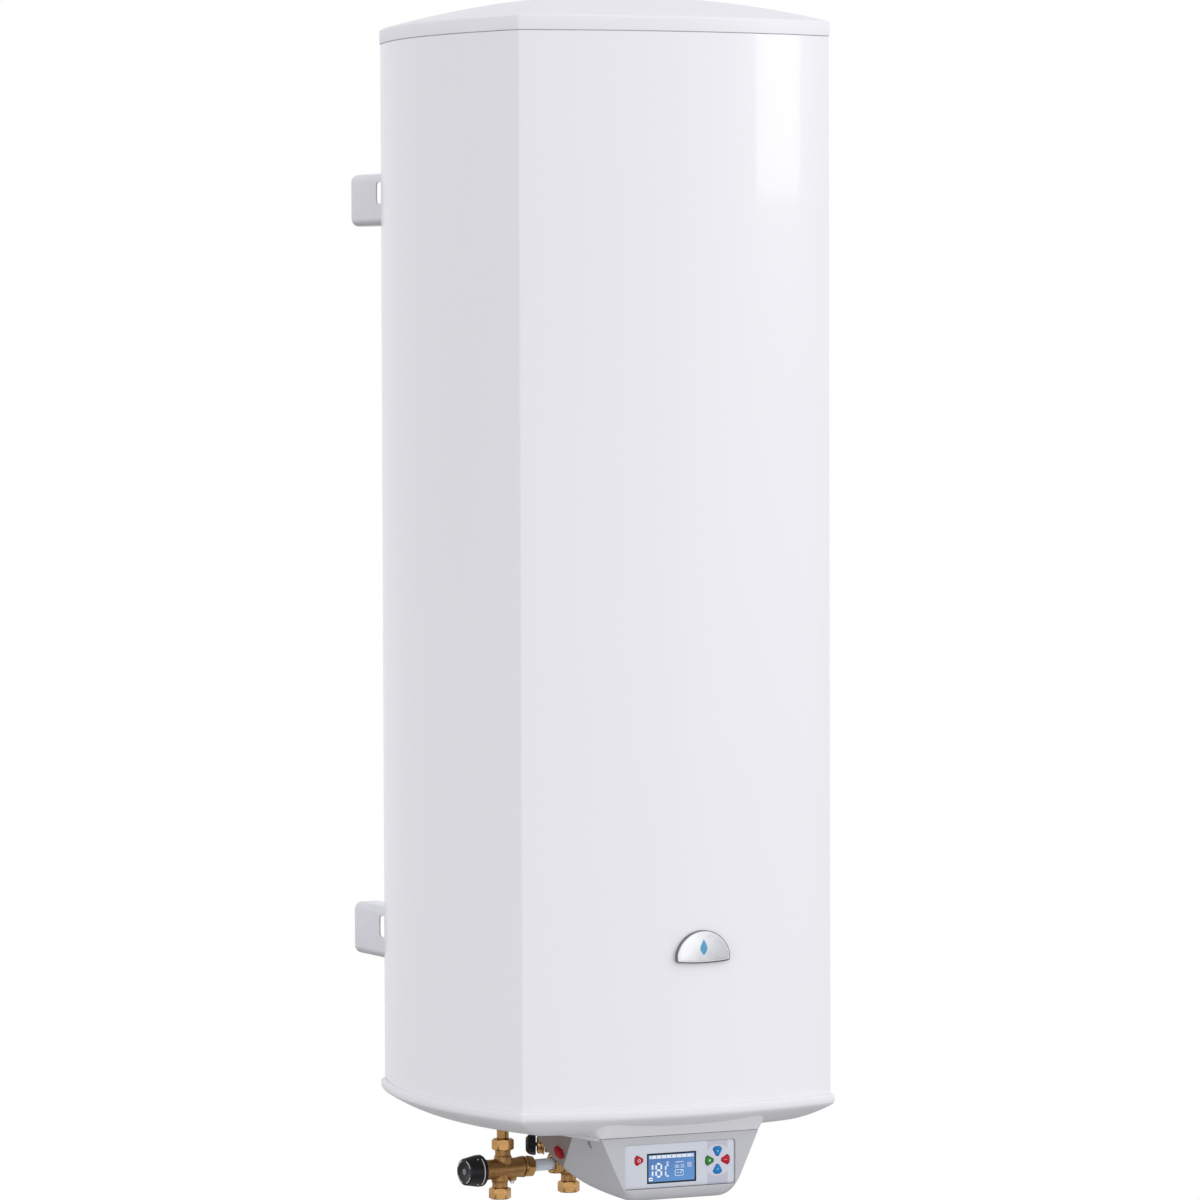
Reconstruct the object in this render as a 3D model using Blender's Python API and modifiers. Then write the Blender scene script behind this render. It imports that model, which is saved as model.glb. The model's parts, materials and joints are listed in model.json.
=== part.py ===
"""Wall-hung electric tank water heater of the 150 litre class.

A bow-sided white steel casing hangs on four pressed wall brackets. Inside are
the foam and the pressure tank with its heater flange. Below are the mixing
valve, the safety valve and the control console.

Metres, +Z up, -Y is the front and +Y faces the wall. The origin is the wall
fixing point: on the wall, midway between the two upper brackets. Everything
hangs on one empty at the casing's centre, so all the places below are measured
from that centre.
"""
from math import asin, atan2, cos, hypot, pi, radians, sin

import bmesh
import bpy
from mathutils import Matrix

# ---- casing ----
WIDTH = 0.420               # between the front corners
DEPTH = 0.408               # between a front corner and the back corner
HEIGHT = 1.300              # of the steel jacket, seam to seam
BOW_FRONT = 0.035           # how far each face bows out past its corners
BOW_SIDE = 0.037
BOW_BACK = 0.036
ARC_STEPS = 10              # flats in each bowed face
JACKET_T = 0.0012
CORNER_R = 0.003
GAP = 0.0003                # clearance between touching pieces

# ---- caps ----
CAP_T = 0.0025
TOP_SKIRT = 0.018
TOP_PROUD = 0.0008
CROWN = 0.036               # rise of the crown above its skirt
BOTTOM_SKIRT = 0.011
BOTTOM_PROUD = 0.0035
DISH = 0.0255               # drop of the underside below its skirt
DISH_RIM = 0.30             # share of the half width that the curved rim takes

# ---- wall ----
WALL_Y = 0.334              # wall plane behind the casing's centre
UPPER_BRACKET_Z = 0.458
LOWER_BRACKET_Z = -0.470
BRACKET_X = 0.197
BRACKET_H = 0.066
BRACKET_FLANGE = 0.030
BRACKET_T = 0.002
BRACKET_BEND = 0.010
WINDOW = 0.027
WINDOW_UP = 0.008
WINDOW_FROM_WALL = 0.085
BOLT_X = 0.179
BOLT_SLOT_W = 0.010
BOLT_SLOT_H = 0.030

# ---- tank and heater flange ----
TANK_R = 0.200
TANK_T = 0.0025
TANK_TOP = 0.610
TANK_BOTTOM = -0.600
DOME = 0.055
TANK_STEPS = 32
FLANGE_Y = -0.106
FLANGE_R = 0.075
FLANGE_T = 0.006
GASKET_T = 0.003
NECK_R = 0.052
NECK_T = 0.003
FLANGE_SEAT_Z = -0.626      # underside of the tank's flange ring
BOLT_CIRCLE = 0.064
ELEMENT_R = 0.004
ELEMENT_HALF_SPAN = 0.020
ELEMENT_LENGTH = 0.360
ELEMENT_Y = -0.014          # this and the next two, from the flange's centre
POCKET_XY = (-0.022, 0.020)
ANODE_XY = (0.012, 0.026)
ANODE_R = 0.010
STUD_R = 0.004              # bolt shanks and the anode's stud
POCKET_R = 0.006

# ---- plumbing ----
PIPE_R = 0.0075             # 15 mm pipe
PIPE_T = 0.001
HOT_XY = (-0.1225, 0.0403)
STUB_SPACING = 0.1003
VALVE_YAW = radians(9.7)    # line of the two stubs, seen from above
VALVE_Z = -0.751            # level of the mixing valve's barrel
NUT_AF = 0.024
NUT_H = 0.0145
NUT_BASE = 0.023            # from the barrel's axis to the nut's inner end
NECK_OUT_R = 0.0097
NUT_RECESS = 0.0035
BARREL_R = 0.013
BARREL_LEFT = -0.033
BARREL_RIGHT = 0.028
BARREL_BORE = 0.0085
BOTTOM_PORT_X = -0.0045
MIX_KNOB_R = 0.0198
MIX_KNOB_FACE_R = 0.0168
MIX_KNOB_L = 0.0235
BRIDGE_FROM = 0.033
BRIDGE_TO = 0.086
MIXED_BLEED_X = 0.014       # bleed screw under the barrel
WATERWAY_R = 0.005
SAFETY_BODY_R = 0.0125
BRANCH_YAW = radians(154)   # seen from above, from +X
BRANCH_Z = 0.0225           # above the barrel's axis
BRANCH_KNOB_AT = 0.041      # from the stub's axis to the knob's base
BRANCH_KNOB_R = 0.0134
BRANCH_KNOB_L = 0.013
BRANCH_R = 0.0105

# ---- console ----
FACE_Y = -0.209
FACE_TOP = -0.6874
FACE_TOP_HALF = 0.107
FACE_SLOPE = 0.458          # how fast the face narrows downwards
SHELL_T = 0.0025
MARKER = 0.0125             # red square cap on the rear cover
MARKER_PROUD = 0.006
MARKER_YZ = (-0.0646, -0.7196)
SCREW_YZ = (-0.1660, -0.6985)
SCREW_HOLE_R = 0.0050
PANEL_W = 0.150
PANEL_H = 0.054
PANEL_Z = -0.7243
PANEL_T = 0.0025
PANEL_RECESS = 0.0018
LCD_W = 0.067
LCD_H = 0.037
LCD_X = -0.011
LCD_Z = -0.7275
BUTTONS_X = 0.0515
BUTTONS_Z = -0.722
BUTTON_OFF = 0.011
BUTTON_SIZE = (0.0122, 0.0110)
BUTTON_PROUD = 0.0010
BUTTON_DEPTH = 0.0055
POWER_X = -0.0555
POWER_Z = -0.7165

# ---- cable inlet ----
GLAND_R = 0.0085
GLAND_XY = (0.095, 0.060)

# ---- badge ----
BADGE_W = 0.073
BADGE_H = 0.040
BADGE_X = 0.015
BADGE_Z = -0.456
BADGE_T = 0.0015

HALF = HEIGHT / 2
ROUND = 24                  # sides of a turned piece


# ---------------------------------------------------------------- set-up

for old in list(bpy.data.objects):
    bpy.data.objects.remove(old, do_unlink=True)

heater = bpy.data.collections.new("tank_water_heater")
cutters = bpy.data.collections.new("cutters")
for collection in (heater, cutters):
    bpy.context.scene.collection.children.link(collection)

casing_centre = bpy.data.objects.new("casing_centre", None)
casing_centre.location = (0, -WALL_Y, -UPPER_BRACKET_Z)
heater.objects.link(casing_centre)

valve_axis = bpy.data.objects.new("valve_axis", None)
valve_axis.parent = casing_centre
valve_axis.location = (HOT_XY[0], HOT_XY[1], VALVE_Z)
valve_axis.rotation_euler = (0, 0, VALVE_YAW)
heater.objects.link(valve_axis)

branch_axis = bpy.data.objects.new("branch_axis", None)
branch_axis.parent = valve_axis
branch_axis.location = (STUB_SPACING, 0, BRANCH_Z)
branch_axis.rotation_euler = (0, 0, BRANCH_YAW - VALVE_YAW)
heater.objects.link(branch_axis)


def material(name, colour, roughness, metallic=0.0):
    made = bpy.data.materials.new(name)
    made.use_nodes = True
    shader = made.node_tree.nodes["Principled BSDF"]
    shader.inputs["Base Color"].default_value = (*colour, 1.0)
    shader.inputs["Roughness"].default_value = roughness
    shader.inputs["Metallic"].default_value = metallic
    made.diffuse_color = (*colour, 1.0)
    return made


WHITE = material("white_enamel", (0.86, 0.87, 0.88), 0.25)
CAP_WHITE = material("cap_plastic", (0.80, 0.81, 0.83), 0.35)
BRACKET_GREY = material("bracket_paint", (0.72, 0.73, 0.75), 0.30)
FOAM = material("foam", (0.85, 0.76, 0.45), 0.95)
STEEL = material("stainless_steel", (0.60, 0.61, 0.62), 0.35, 1.0)
ZINC = material("zinc_plated_steel", (0.66, 0.67, 0.68), 0.40, 1.0)
BRASS = material("brass", (0.62, 0.42, 0.17), 0.35, 1.0)
NICKEL = material("nickel", (0.55, 0.55, 0.53), 0.25, 1.0)
BLACK = material("black_plastic", (0.012, 0.012, 0.013), 0.35)
PIPE_WHITE = material("white_plastic_pipe", (0.78, 0.80, 0.84), 0.30)
CONSOLE_GREY = material("console_plastic", (0.56, 0.57, 0.59), 0.40)
DARK_GREY = material("rear_cover_plastic", (0.22, 0.18, 0.17), 0.45)
PANEL_SILVER = material("panel_foil", (0.62, 0.65, 0.70), 0.35)
LCD_BLUE = material("lcd_blue", (0.05, 0.25, 0.58), 0.30)
CLEAR = material("clear_window", (0.80, 0.85, 0.90), 0.05)
RED = material("red_plastic", (0.55, 0.01, 0.03), 0.35)
BLUE = material("blue_plastic", (0.00, 0.27, 0.60), 0.35)
GREEN = material("green_plastic", (0.02, 0.27, 0.03), 0.35)
BOARD = material("circuit_board", (0.02, 0.20, 0.06), 0.50)
GASKET = material("gasket_rubber", (0.03, 0.03, 0.03), 0.80)
MAGNESIUM = material("magnesium", (0.50, 0.50, 0.50), 0.60, 1.0)
BADGE_SILVER = material("badge_silver", (0.30, 0.30, 0.31), 0.30, 1.0)


# ---------------------------------------------------------------- tools

def put(mesh, name, mat, parent=casing_centre, at=(0, 0, 0), turn=(0, 0, 0)):
    """Make a mesh a named piece, with its material and its place."""
    made = bpy.data.objects.new(name, mesh)
    mesh.materials.append(mat)
    made.parent = parent
    made.location = at
    made.rotation_euler = turn
    heater.objects.link(made)
    return made


def as_cutter(made):
    heater.objects.unlink(made)
    cutters.objects.link(made)
    made.hide_render = True
    made.display_type = "WIRE"
    return made


def finish_mesh(bm, name, smooth_angle=35):
    bmesh.ops.recalc_face_normals(bm, faces=bm.faces)
    mesh = bpy.data.meshes.new(name)
    bm.to_mesh(mesh)
    bm.free()
    mesh.shade_smooth()
    mesh.set_sharp_from_angle(angle=radians(smooth_angle))
    return mesh


def modify(made, kind, **settings):
    added = made.modifiers.new(kind.lower(), kind)
    for key, value in settings.items():
        setattr(added, key, value)
    return added


def bevel(made, width, segments=2, angle=30):
    modify(made, "BEVEL", width=width, segments=segments, limit_method="ANGLE",
           angle_limit=radians(angle))


def solidify(made, thickness, offset=-1):
    modify(made, "SOLIDIFY", thickness=thickness, offset=offset, use_even_offset=True)


def boolean(made, other, operation="DIFFERENCE"):
    modify(made, "BOOLEAN", object=other, operation=operation, solver="EXACT")


def box_mesh(name, size):
    bm = bmesh.new()
    bmesh.ops.create_cube(bm, size=1.0)
    bmesh.ops.scale(bm, vec=size, verts=bm.verts)
    return finish_mesh(bm, name)


def rod_mesh(name, radius, length, sides=ROUND, axis="Z", base=0.0):
    """A cylinder that starts at base and runs length along its axis."""
    bm = bmesh.new()
    bmesh.ops.create_cone(bm, cap_ends=True, segments=sides, radius1=radius,
                          radius2=radius, depth=length)
    bmesh.ops.translate(bm, vec=(0, 0, base + length / 2), verts=bm.verts)
    turn = {"X": Matrix.Rotation(pi / 2, 3, "Y"), "Y": Matrix.Rotation(-pi / 2, 3, "X"),
            "Z": Matrix.Identity(3)}[axis]
    bmesh.ops.rotate(bm, matrix=turn, verts=bm.verts)
    return finish_mesh(bm, name)


def turned(name, profile, mat, steps=ROUND, closed=False, **place):
    """Turn a profile of (radius, height) points, listed down the outer side."""
    mesh = bpy.data.meshes.new(name)
    edges = [(i, i + 1) for i in range(len(profile) - 1)]
    if closed:
        edges.append((len(profile) - 1, 0))
    mesh.from_pydata([(r, 0, z) for r, z in profile], edges, [])
    made = put(mesh, name, mat, **place)
    modify(made, "SCREW", axis="Z", steps=steps, render_steps=steps, angle=2 * pi,
           use_merge_vertices=True, merge_threshold=0.00001, use_smooth_shade=True)
    return made


def tube(name, outer, inner, low, high, mat, **place):
    profile = [(outer, high), (outer, low), (inner, low), (inner, high)]
    return turned(name, profile, mat, closed=True, **place)


def rounded_prism(name, corners, depth, radius, segments=3):
    """A flat outline in XZ, its corners rounded, extruded along +Y by depth."""
    bm = bmesh.new()
    face = bm.faces.new([bm.verts.new((x, 0, z)) for x, z in corners])
    if radius:
        bmesh.ops.bevel(bm, geom=list(bm.verts), offset=radius, segments=segments,
                        affect="VERTICES", profile=0.5)
    face = bm.faces[:][0]
    pushed = bmesh.ops.extrude_face_region(bm, geom=[face])
    moved = [v for v in pushed["geom"] if isinstance(v, bmesh.types.BMVert)]
    bmesh.ops.translate(bm, vec=(0, depth, 0), verts=moved)
    return finish_mesh(bm, name)


def rectangle(width, height):
    return [(-width / 2, -height / 2), (width / 2, -height / 2),
            (width / 2, height / 2), (-width / 2, height / 2)]


# ---------------------------------------------------------------- casing

def bow(half_chord, rise, share):
    """Point of a shallow arc: share runs from -1 to 1 along its chord."""
    radius = (half_chord ** 2 + rise ** 2) / (2 * rise)
    angle = share * asin(half_chord / radius)
    return radius * sin(angle), radius * cos(angle) - (radius - rise)


def bowed_outline(grow=0.0):
    """The casing's section: four bowed faces between four corners."""
    half_w = WIDTH / 2 + grow
    half_d = DEPTH / 2 + grow
    faces = ((half_w, half_d, BOW_FRONT, -pi / 2), (half_d, half_w, BOW_SIDE, 0.0),
             (half_w, half_d, BOW_BACK, pi / 2), (half_d, half_w, BOW_SIDE, pi))
    points = []
    for half_chord, distance, rise, facing in faces:
        for step in range(ARC_STEPS):
            along, out = bow(half_chord, rise, 2 * step / ARC_STEPS - 1)
            out += distance
            points.append((out * cos(facing) - along * sin(facing),
                           out * sin(facing) + along * cos(facing)))
    return points


def outline_ring(bm, grow, z):
    """Draw the section as a ring of edges at a height."""
    verts = [bm.verts.new((x, y, z)) for x, y in bowed_outline(grow)]
    return [bm.edges.new((verts[i - 1], verts[i])) for i in range(len(verts))]


def pull_ring(bm, ring, scale, dz):
    """Extrude a ring of edges, then scale it about the centre and lift it."""
    made = bmesh.ops.extrude_edge_only(bm, edges=ring)["geom"]
    verts = [g for g in made if isinstance(g, bmesh.types.BMVert)]
    bmesh.ops.scale(bm, vec=(scale, scale, 1), verts=verts)
    bmesh.ops.translate(bm, vec=(0, 0, dz), verts=verts)
    return [g for g in made if isinstance(g, bmesh.types.BMEdge)]


def casing_prism(name, grow, low, high):
    bm = bmesh.new()
    ring = outline_ring(bm, grow, low)
    bmesh.ops.contextual_create(bm, geom=ring)
    top = pull_ring(bm, ring, 1, high - low)
    bmesh.ops.contextual_create(bm, geom=top)
    return finish_mesh(bm, name, 30)


def make_jacket():
    bm = bmesh.new()
    ring = outline_ring(bm, 0, -HALF)
    pull_ring(bm, ring, 1, HEIGHT)
    jacket = put(finish_mesh(bm, "jacket", 30), "jacket", WHITE)
    bevel(jacket, CORNER_R, 2, 40)
    solidify(jacket, JACKET_T)


def domed_skirt(bm, ring, base_z, depth, rim, power, scales, sign):
    """Carry a ring inwards over a dome whose rim share and power set its curve."""
    last_scale, last_z = 1.0, base_z
    for scale in scales:
        share = min(1.0, (1 - scale) / rim)
        z = base_z + sign * depth * (1 - (1 - share) ** power)
        ring = pull_ring(bm, ring, scale / last_scale, z - last_z)
        last_scale, last_z = scale, z
    return ring


def make_top_cap():
    bm = bmesh.new()
    base = HALF + GAP
    ring = outline_ring(bm, TOP_PROUD, base)
    ring = pull_ring(bm, ring, 1, TOP_SKIRT)
    scales = (0.985, 0.93, 0.82, 0.66, 0.44, 0.20)
    ring = domed_skirt(bm, ring, base + TOP_SKIRT, CROWN, 1.0, 2.0, scales, 1)
    bmesh.ops.contextual_create(bm, geom=ring)
    top_cap = put(finish_mesh(bm, "top_cap", 40), "top_cap", CAP_WHITE)
    solidify(top_cap, CAP_T)


def make_bottom_cap():
    bm = bmesh.new()
    base = -HALF - GAP
    ring = outline_ring(bm, BOTTOM_PROUD, base)
    ring = pull_ring(bm, ring, 1, -BOTTOM_SKIRT)
    scales = (0.99, 0.96, 0.91, 0.85, 0.78, 0.70)
    ring = domed_skirt(bm, ring, base - BOTTOM_SKIRT, DISH, DISH_RIM, 2.0, scales, -1)
    bmesh.ops.contextual_create(bm, geom=ring)
    cap = put(finish_mesh(bm, "bottom_cap", 40), "bottom_cap", CAP_WHITE)
    solidify(cap, CAP_T)
    floor = base - BOTTOM_SKIRT - DISH
    service = rod_mesh("service_hole", FLANGE_R + 0.004, 0.030)
    boolean(cap, as_cutter(put(service, "service_hole", CAP_WHITE,
                               at=(0, FLANGE_Y, floor - 0.012))))
    for name, x in (("hot_hole", 0.0), ("cold_hole", STUB_SPACING)):
        hole = rod_mesh(name, PIPE_R + GAP, 0.030)
        boolean(cap, as_cutter(put(hole, name, CAP_WHITE, parent=valve_axis,
                                   at=(x, 0, floor - VALVE_Z - 0.012))))
    gland_hole = rod_mesh("gland_hole", GLAND_R + GAP, 0.030)
    boolean(cap, as_cutter(put(gland_hole, "gland_hole", CAP_WHITE,
                               at=(*GLAND_XY, floor - 0.012))))
    low = floor - GAP
    gland = [(GLAND_R, 0.010), (GLAND_R, 0), (GLAND_R + 0.003, 0), (GLAND_R + 0.003, -0.006),
             (GLAND_R - 0.001, -0.014), (0.0045, -0.014), (0.0045, 0.010)]
    turned("cable_gland", gland, BLACK, steps=16, closed=True, at=(*GLAND_XY, low))


def make_foam():
    foam = put(casing_prism("foam_insulation", -0.0018, -0.640, 0.640), "foam_insulation", FOAM)
    bore = TANK_R + GAP * 2
    profile = [(0, TANK_TOP + GAP * 2)]
    profile += dome_arc(bore, TANK_TOP - DOME, DOME + GAP * 2, 1)
    profile += [(bore, -0.700), (0, -0.700)]
    boolean(foam, as_cutter(turned("tank_space", profile, FOAM, steps=TANK_STEPS)))


def dome_arc(radius, base_z, rise, sign, steps=5):
    """Points of a quarter ellipse, from near the axis out to the wall."""
    arc = [(radius * sin(pi / 2 * i / steps), base_z + sign * rise * cos(pi / 2 * i / steps))
           for i in range(1, steps + 1)]
    return arc if sign > 0 else arc[::-1]


def tank_profile(inset):
    """Outline of a tank: the shell's outside, or its inside with an inset."""
    radius = TANK_R - inset
    top = dome_arc(radius, TANK_TOP - DOME, DOME - inset, 1)
    bottom = dome_arc(radius, TANK_BOTTOM + DOME, DOME - inset, -1)
    return ([(0, TANK_TOP - inset)] + top + bottom + [(0, TANK_BOTTOM + inset)])


def make_tank():
    tank = turned("inner_tank", tank_profile(0), STEEL, steps=TANK_STEPS)
    at_flange = (0, FLANGE_Y, FLANGE_SEAT_Z)
    neck = rod_mesh("neck_outside", NECK_R, 0.075)
    boolean(tank, as_cutter(put(neck, "neck_outside", STEEL, at=at_flange)), "UNION")
    ring = rod_mesh("flange_ring", FLANGE_R, 0.008)
    boolean(tank, as_cutter(put(ring, "flange_ring", STEEL, at=at_flange)), "UNION")
    boolean(tank, as_cutter(turned("water_space", tank_profile(TANK_T), STEEL,
                                   steps=TANK_STEPS)))
    bore = rod_mesh("neck_bore", NECK_R - NECK_T, 0.100)
    boolean(tank, as_cutter(put(bore, "neck_bore", STEEL,
                                at=(0, FLANGE_Y, FLANGE_SEAT_Z - 0.010))))
    for name, x in (("hot_tank_hole", 0.0), ("cold_tank_hole", STUB_SPACING)):
        hole = rod_mesh(name, PIPE_R + GAP, 0.120)
        boolean(tank, as_cutter(put(hole, name, STEEL, parent=valve_axis,
                                    at=(x, 0, TANK_BOTTOM - VALVE_Z - 0.020))))


# ---------------------------------------------------------------- brackets

def make_bracket(name, side, z):
    """A deep-drawn pan: a web beside the casing, flanges turned inwards."""
    start = 0.180
    bm = bmesh.new()
    bmesh.ops.create_cube(bm, size=1.0)
    bmesh.ops.scale(bm, vec=(BRACKET_FLANGE, WALL_Y - start, BRACKET_H), verts=bm.verts)
    bmesh.ops.translate(bm, vec=(side * (BRACKET_X - BRACKET_FLANGE / 2),
                                 (WALL_Y + start) / 2, 0), verts=bm.verts)
    open_faces = [f for f in bm.faces if f.normal.x * side < -0.5 or f.normal.y < -0.5]
    bmesh.ops.delete(bm, geom=open_faces, context="FACES")
    bracket = put(finish_mesh(bm, name), name, BRACKET_GREY, at=(0, 0, z))
    bevel(bracket, BRACKET_BEND, 4)
    solidify(bracket, BRACKET_T)

    window = rounded_prism(name + "_window", rectangle(WINDOW, WINDOW), 0.040, 0.006)
    boolean(bracket, as_cutter(put(
        window, name + "_window", BRACKET_GREY, turn=(0, 0, -pi / 2 * side),
        at=(side * (BRACKET_X - 0.020), WALL_Y - WINDOW_FROM_WALL - WINDOW / 2,
            z + WINDOW_UP))))
    slot = rounded_prism(name + "_slot", rectangle(BOLT_SLOT_W, BOLT_SLOT_H), 0.020,
                         BOLT_SLOT_W * 0.45)
    boolean(bracket, as_cutter(put(
        slot, name + "_slot", BRACKET_GREY, at=(side * BOLT_X, WALL_Y - 0.010, z))))
    boolean(bracket, casing_clearance)


# ---------------------------------------------------------------- heater flange

def ring_of_bolts(count=4):
    return [(BOLT_CIRCLE * cos(pi / 4 + i * 2 * pi / count),
             BOLT_CIRCLE * sin(pi / 4 + i * 2 * pi / count)) for i in range(count)]


def make_flange():
    seat = FLANGE_SEAT_Z - GAP
    at = (0, FLANGE_Y, 0)
    tube("flange_gasket", FLANGE_R - 0.018, NECK_R - NECK_T, seat - GASKET_T, seat, GASKET, at=at)
    plate_top = seat - GASKET_T - GAP
    plate_low = plate_top - FLANGE_T
    plate = put(rod_mesh("heater_flange", FLANGE_R, FLANGE_T, 32), "heater_flange", ZINC,
                at=(0, FLANGE_Y, plate_low))
    holes = [(ELEMENT_HALF_SPAN, ELEMENT_Y, ELEMENT_R), (-ELEMENT_HALF_SPAN, ELEMENT_Y, ELEMENT_R),
             (*POCKET_XY, POCKET_R), (*ANODE_XY, STUD_R)]
    holes += [(x, y, STUD_R) for x, y in ring_of_bolts()]
    for index, (x, y, radius) in enumerate(holes):
        name = f"flange_hole_{index + 1}"
        boolean(plate, as_cutter(put(rod_mesh(name, radius + GAP, 0.020, 16), name, ZINC,
                                     at=(x, FLANGE_Y + y, plate_low - 0.007))))

    for index, (x, y) in enumerate(ring_of_bolts()):
        shank_top = FLANGE_SEAT_Z - GAP
        head = plate_low - GAP
        profile = [(0, shank_top), (STUD_R, shank_top), (STUD_R, head), (0.0065, head),
                   (0.0065, head - 0.0055), (0, head - 0.0055)]
        turned(f"flange_bolt_{index + 1}", profile, ZINC, steps=12, at=(x, FLANGE_Y + y, 0))

    loop_top = plate_top + ELEMENT_LENGTH
    make_element(plate_low - 0.014, loop_top)
    in_pocket = (POCKET_XY[0], FLANGE_Y + POCKET_XY[1], 0)
    pocket = [(0, plate_top + 0.300), (POCKET_R, plate_top + 0.297), (POCKET_R, plate_low - 0.006),
              (0.0045, plate_low - 0.006), (0.0045, plate_top + 0.294), (0, plate_top + 0.295)]
    turned("thermostat_pocket", pocket, STEEL, steps=12, at=in_pocket)
    sensor = [(0, plate_top + 0.280), (0.0035, plate_top + 0.279), (0.0035, plate_low - 0.008),
              (0.009, plate_low - 0.008), (0.009, plate_low - 0.022), (0, plate_low - 0.022)]
    turned("thermostat", sensor, BLACK, steps=12, at=in_pocket)
    anode = [(0, plate_top + 0.330), (ANODE_R, plate_top + 0.328), (ANODE_R, plate_top + 0.012),
             (STUD_R, plate_top + 0.010), (STUD_R, plate_low - 0.008), (0, plate_low - 0.008)]
    turned("anode_rod", anode, MAGNESIUM, steps=12,
           at=(ANODE_XY[0], FLANGE_Y + ANODE_XY[1], 0))
    cutout = box_mesh("safety_cutout", (0.026, 0.020, 0.012))
    put(cutout, "safety_cutout", BLACK, at=(0.030, FLANGE_Y + 0.018, plate_low - 0.0065))


def make_element(low, high):
    """The heating element: one tube bent over in a U, ends below the plate."""
    curve = bpy.data.curves.new("heating_element", "CURVE")
    curve.dimensions = "3D"
    curve.bevel_depth = ELEMENT_R
    curve.bevel_resolution = 2
    curve.use_fill_caps = True
    spline = curve.splines.new("POLY")
    bend = [(ELEMENT_HALF_SPAN * cos(pi * i / 10), high + ELEMENT_HALF_SPAN * sin(pi * i / 10))
            for i in range(11)]
    route = [(ELEMENT_HALF_SPAN, low)] + bend + [(-ELEMENT_HALF_SPAN, low)]
    spline.points.add(len(route) - 1)
    for point, (x, z) in zip(spline.points, route):
        point.co = (x, 0, z, 1)
    curve.materials.append(STEEL)
    element = bpy.data.objects.new("heating_element", curve)
    element.parent = casing_centre
    element.location = (0, FLANGE_Y + ELEMENT_Y, 0)
    heater.objects.link(element)


# ---------------------------------------------------------------- plumbing

def hex_nut(name, low, high, recess, at=(0, 0, 0), turn=(0, 0, 0), parent=valve_axis):
    """A compression nut: the pipe's bore, and a recess for the port at its low end."""
    bm = bmesh.new()
    bmesh.ops.create_cone(bm, cap_ends=True, segments=6, radius1=NUT_AF / 2 / cos(pi / 6),
                          radius2=NUT_AF / 2 / cos(pi / 6), depth=high - low)
    bmesh.ops.translate(bm, vec=(0, 0, (high + low) / 2), verts=bm.verts)
    nut = put(finish_mesh(bm, name, 20), name, BRASS, parent=parent, at=at, turn=turn)
    chamfer = 0.0014
    round_r = NUT_AF / 2 / cos(pi / 6)
    blank = [(0, high + GAP), (round_r - chamfer, high + GAP), (round_r + GAP, high - chamfer),
             (round_r + GAP, low + chamfer), (round_r - chamfer, low - GAP), (0, low - GAP)]
    boolean(nut, as_cutter(turned(name + "_blank", blank, BRASS, parent=parent, at=at, turn=turn)),
            "INTERSECT")
    ridge = low + recess
    bore = PIPE_R + GAP
    wide = NECK_OUT_R + GAP
    space = [(0, high + 0.002), (bore, high + 0.002), (bore, ridge), (wide, ridge),
             (wide, low - 0.002), (0, low - 0.002)]
    boolean(nut, as_cutter(turned(name + "_bore", space, BRASS, parent=parent, at=at, turn=turn)))
    return nut


def port(name, at, turn, length):
    """A round neck, from inside the valve's body out to a nut."""
    return as_cutter(put(rod_mesh(name, NECK_OUT_R, length), name, BRASS, parent=valve_axis,
                         at=at, turn=turn))


def drill(name, radius, length, at, turn=(0, 0, 0), parent=valve_axis):
    return as_cutter(put(rod_mesh(name, radius, length), name, BRASS, parent=parent, at=at,
                         turn=turn))


TO_RIGHT = (0, pi / 2, 0)
TO_LEFT = (0, -pi / 2, 0)
DOWN = (pi, 0, 0)
NECK_END = NUT_BASE + NUT_RECESS - GAP


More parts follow.
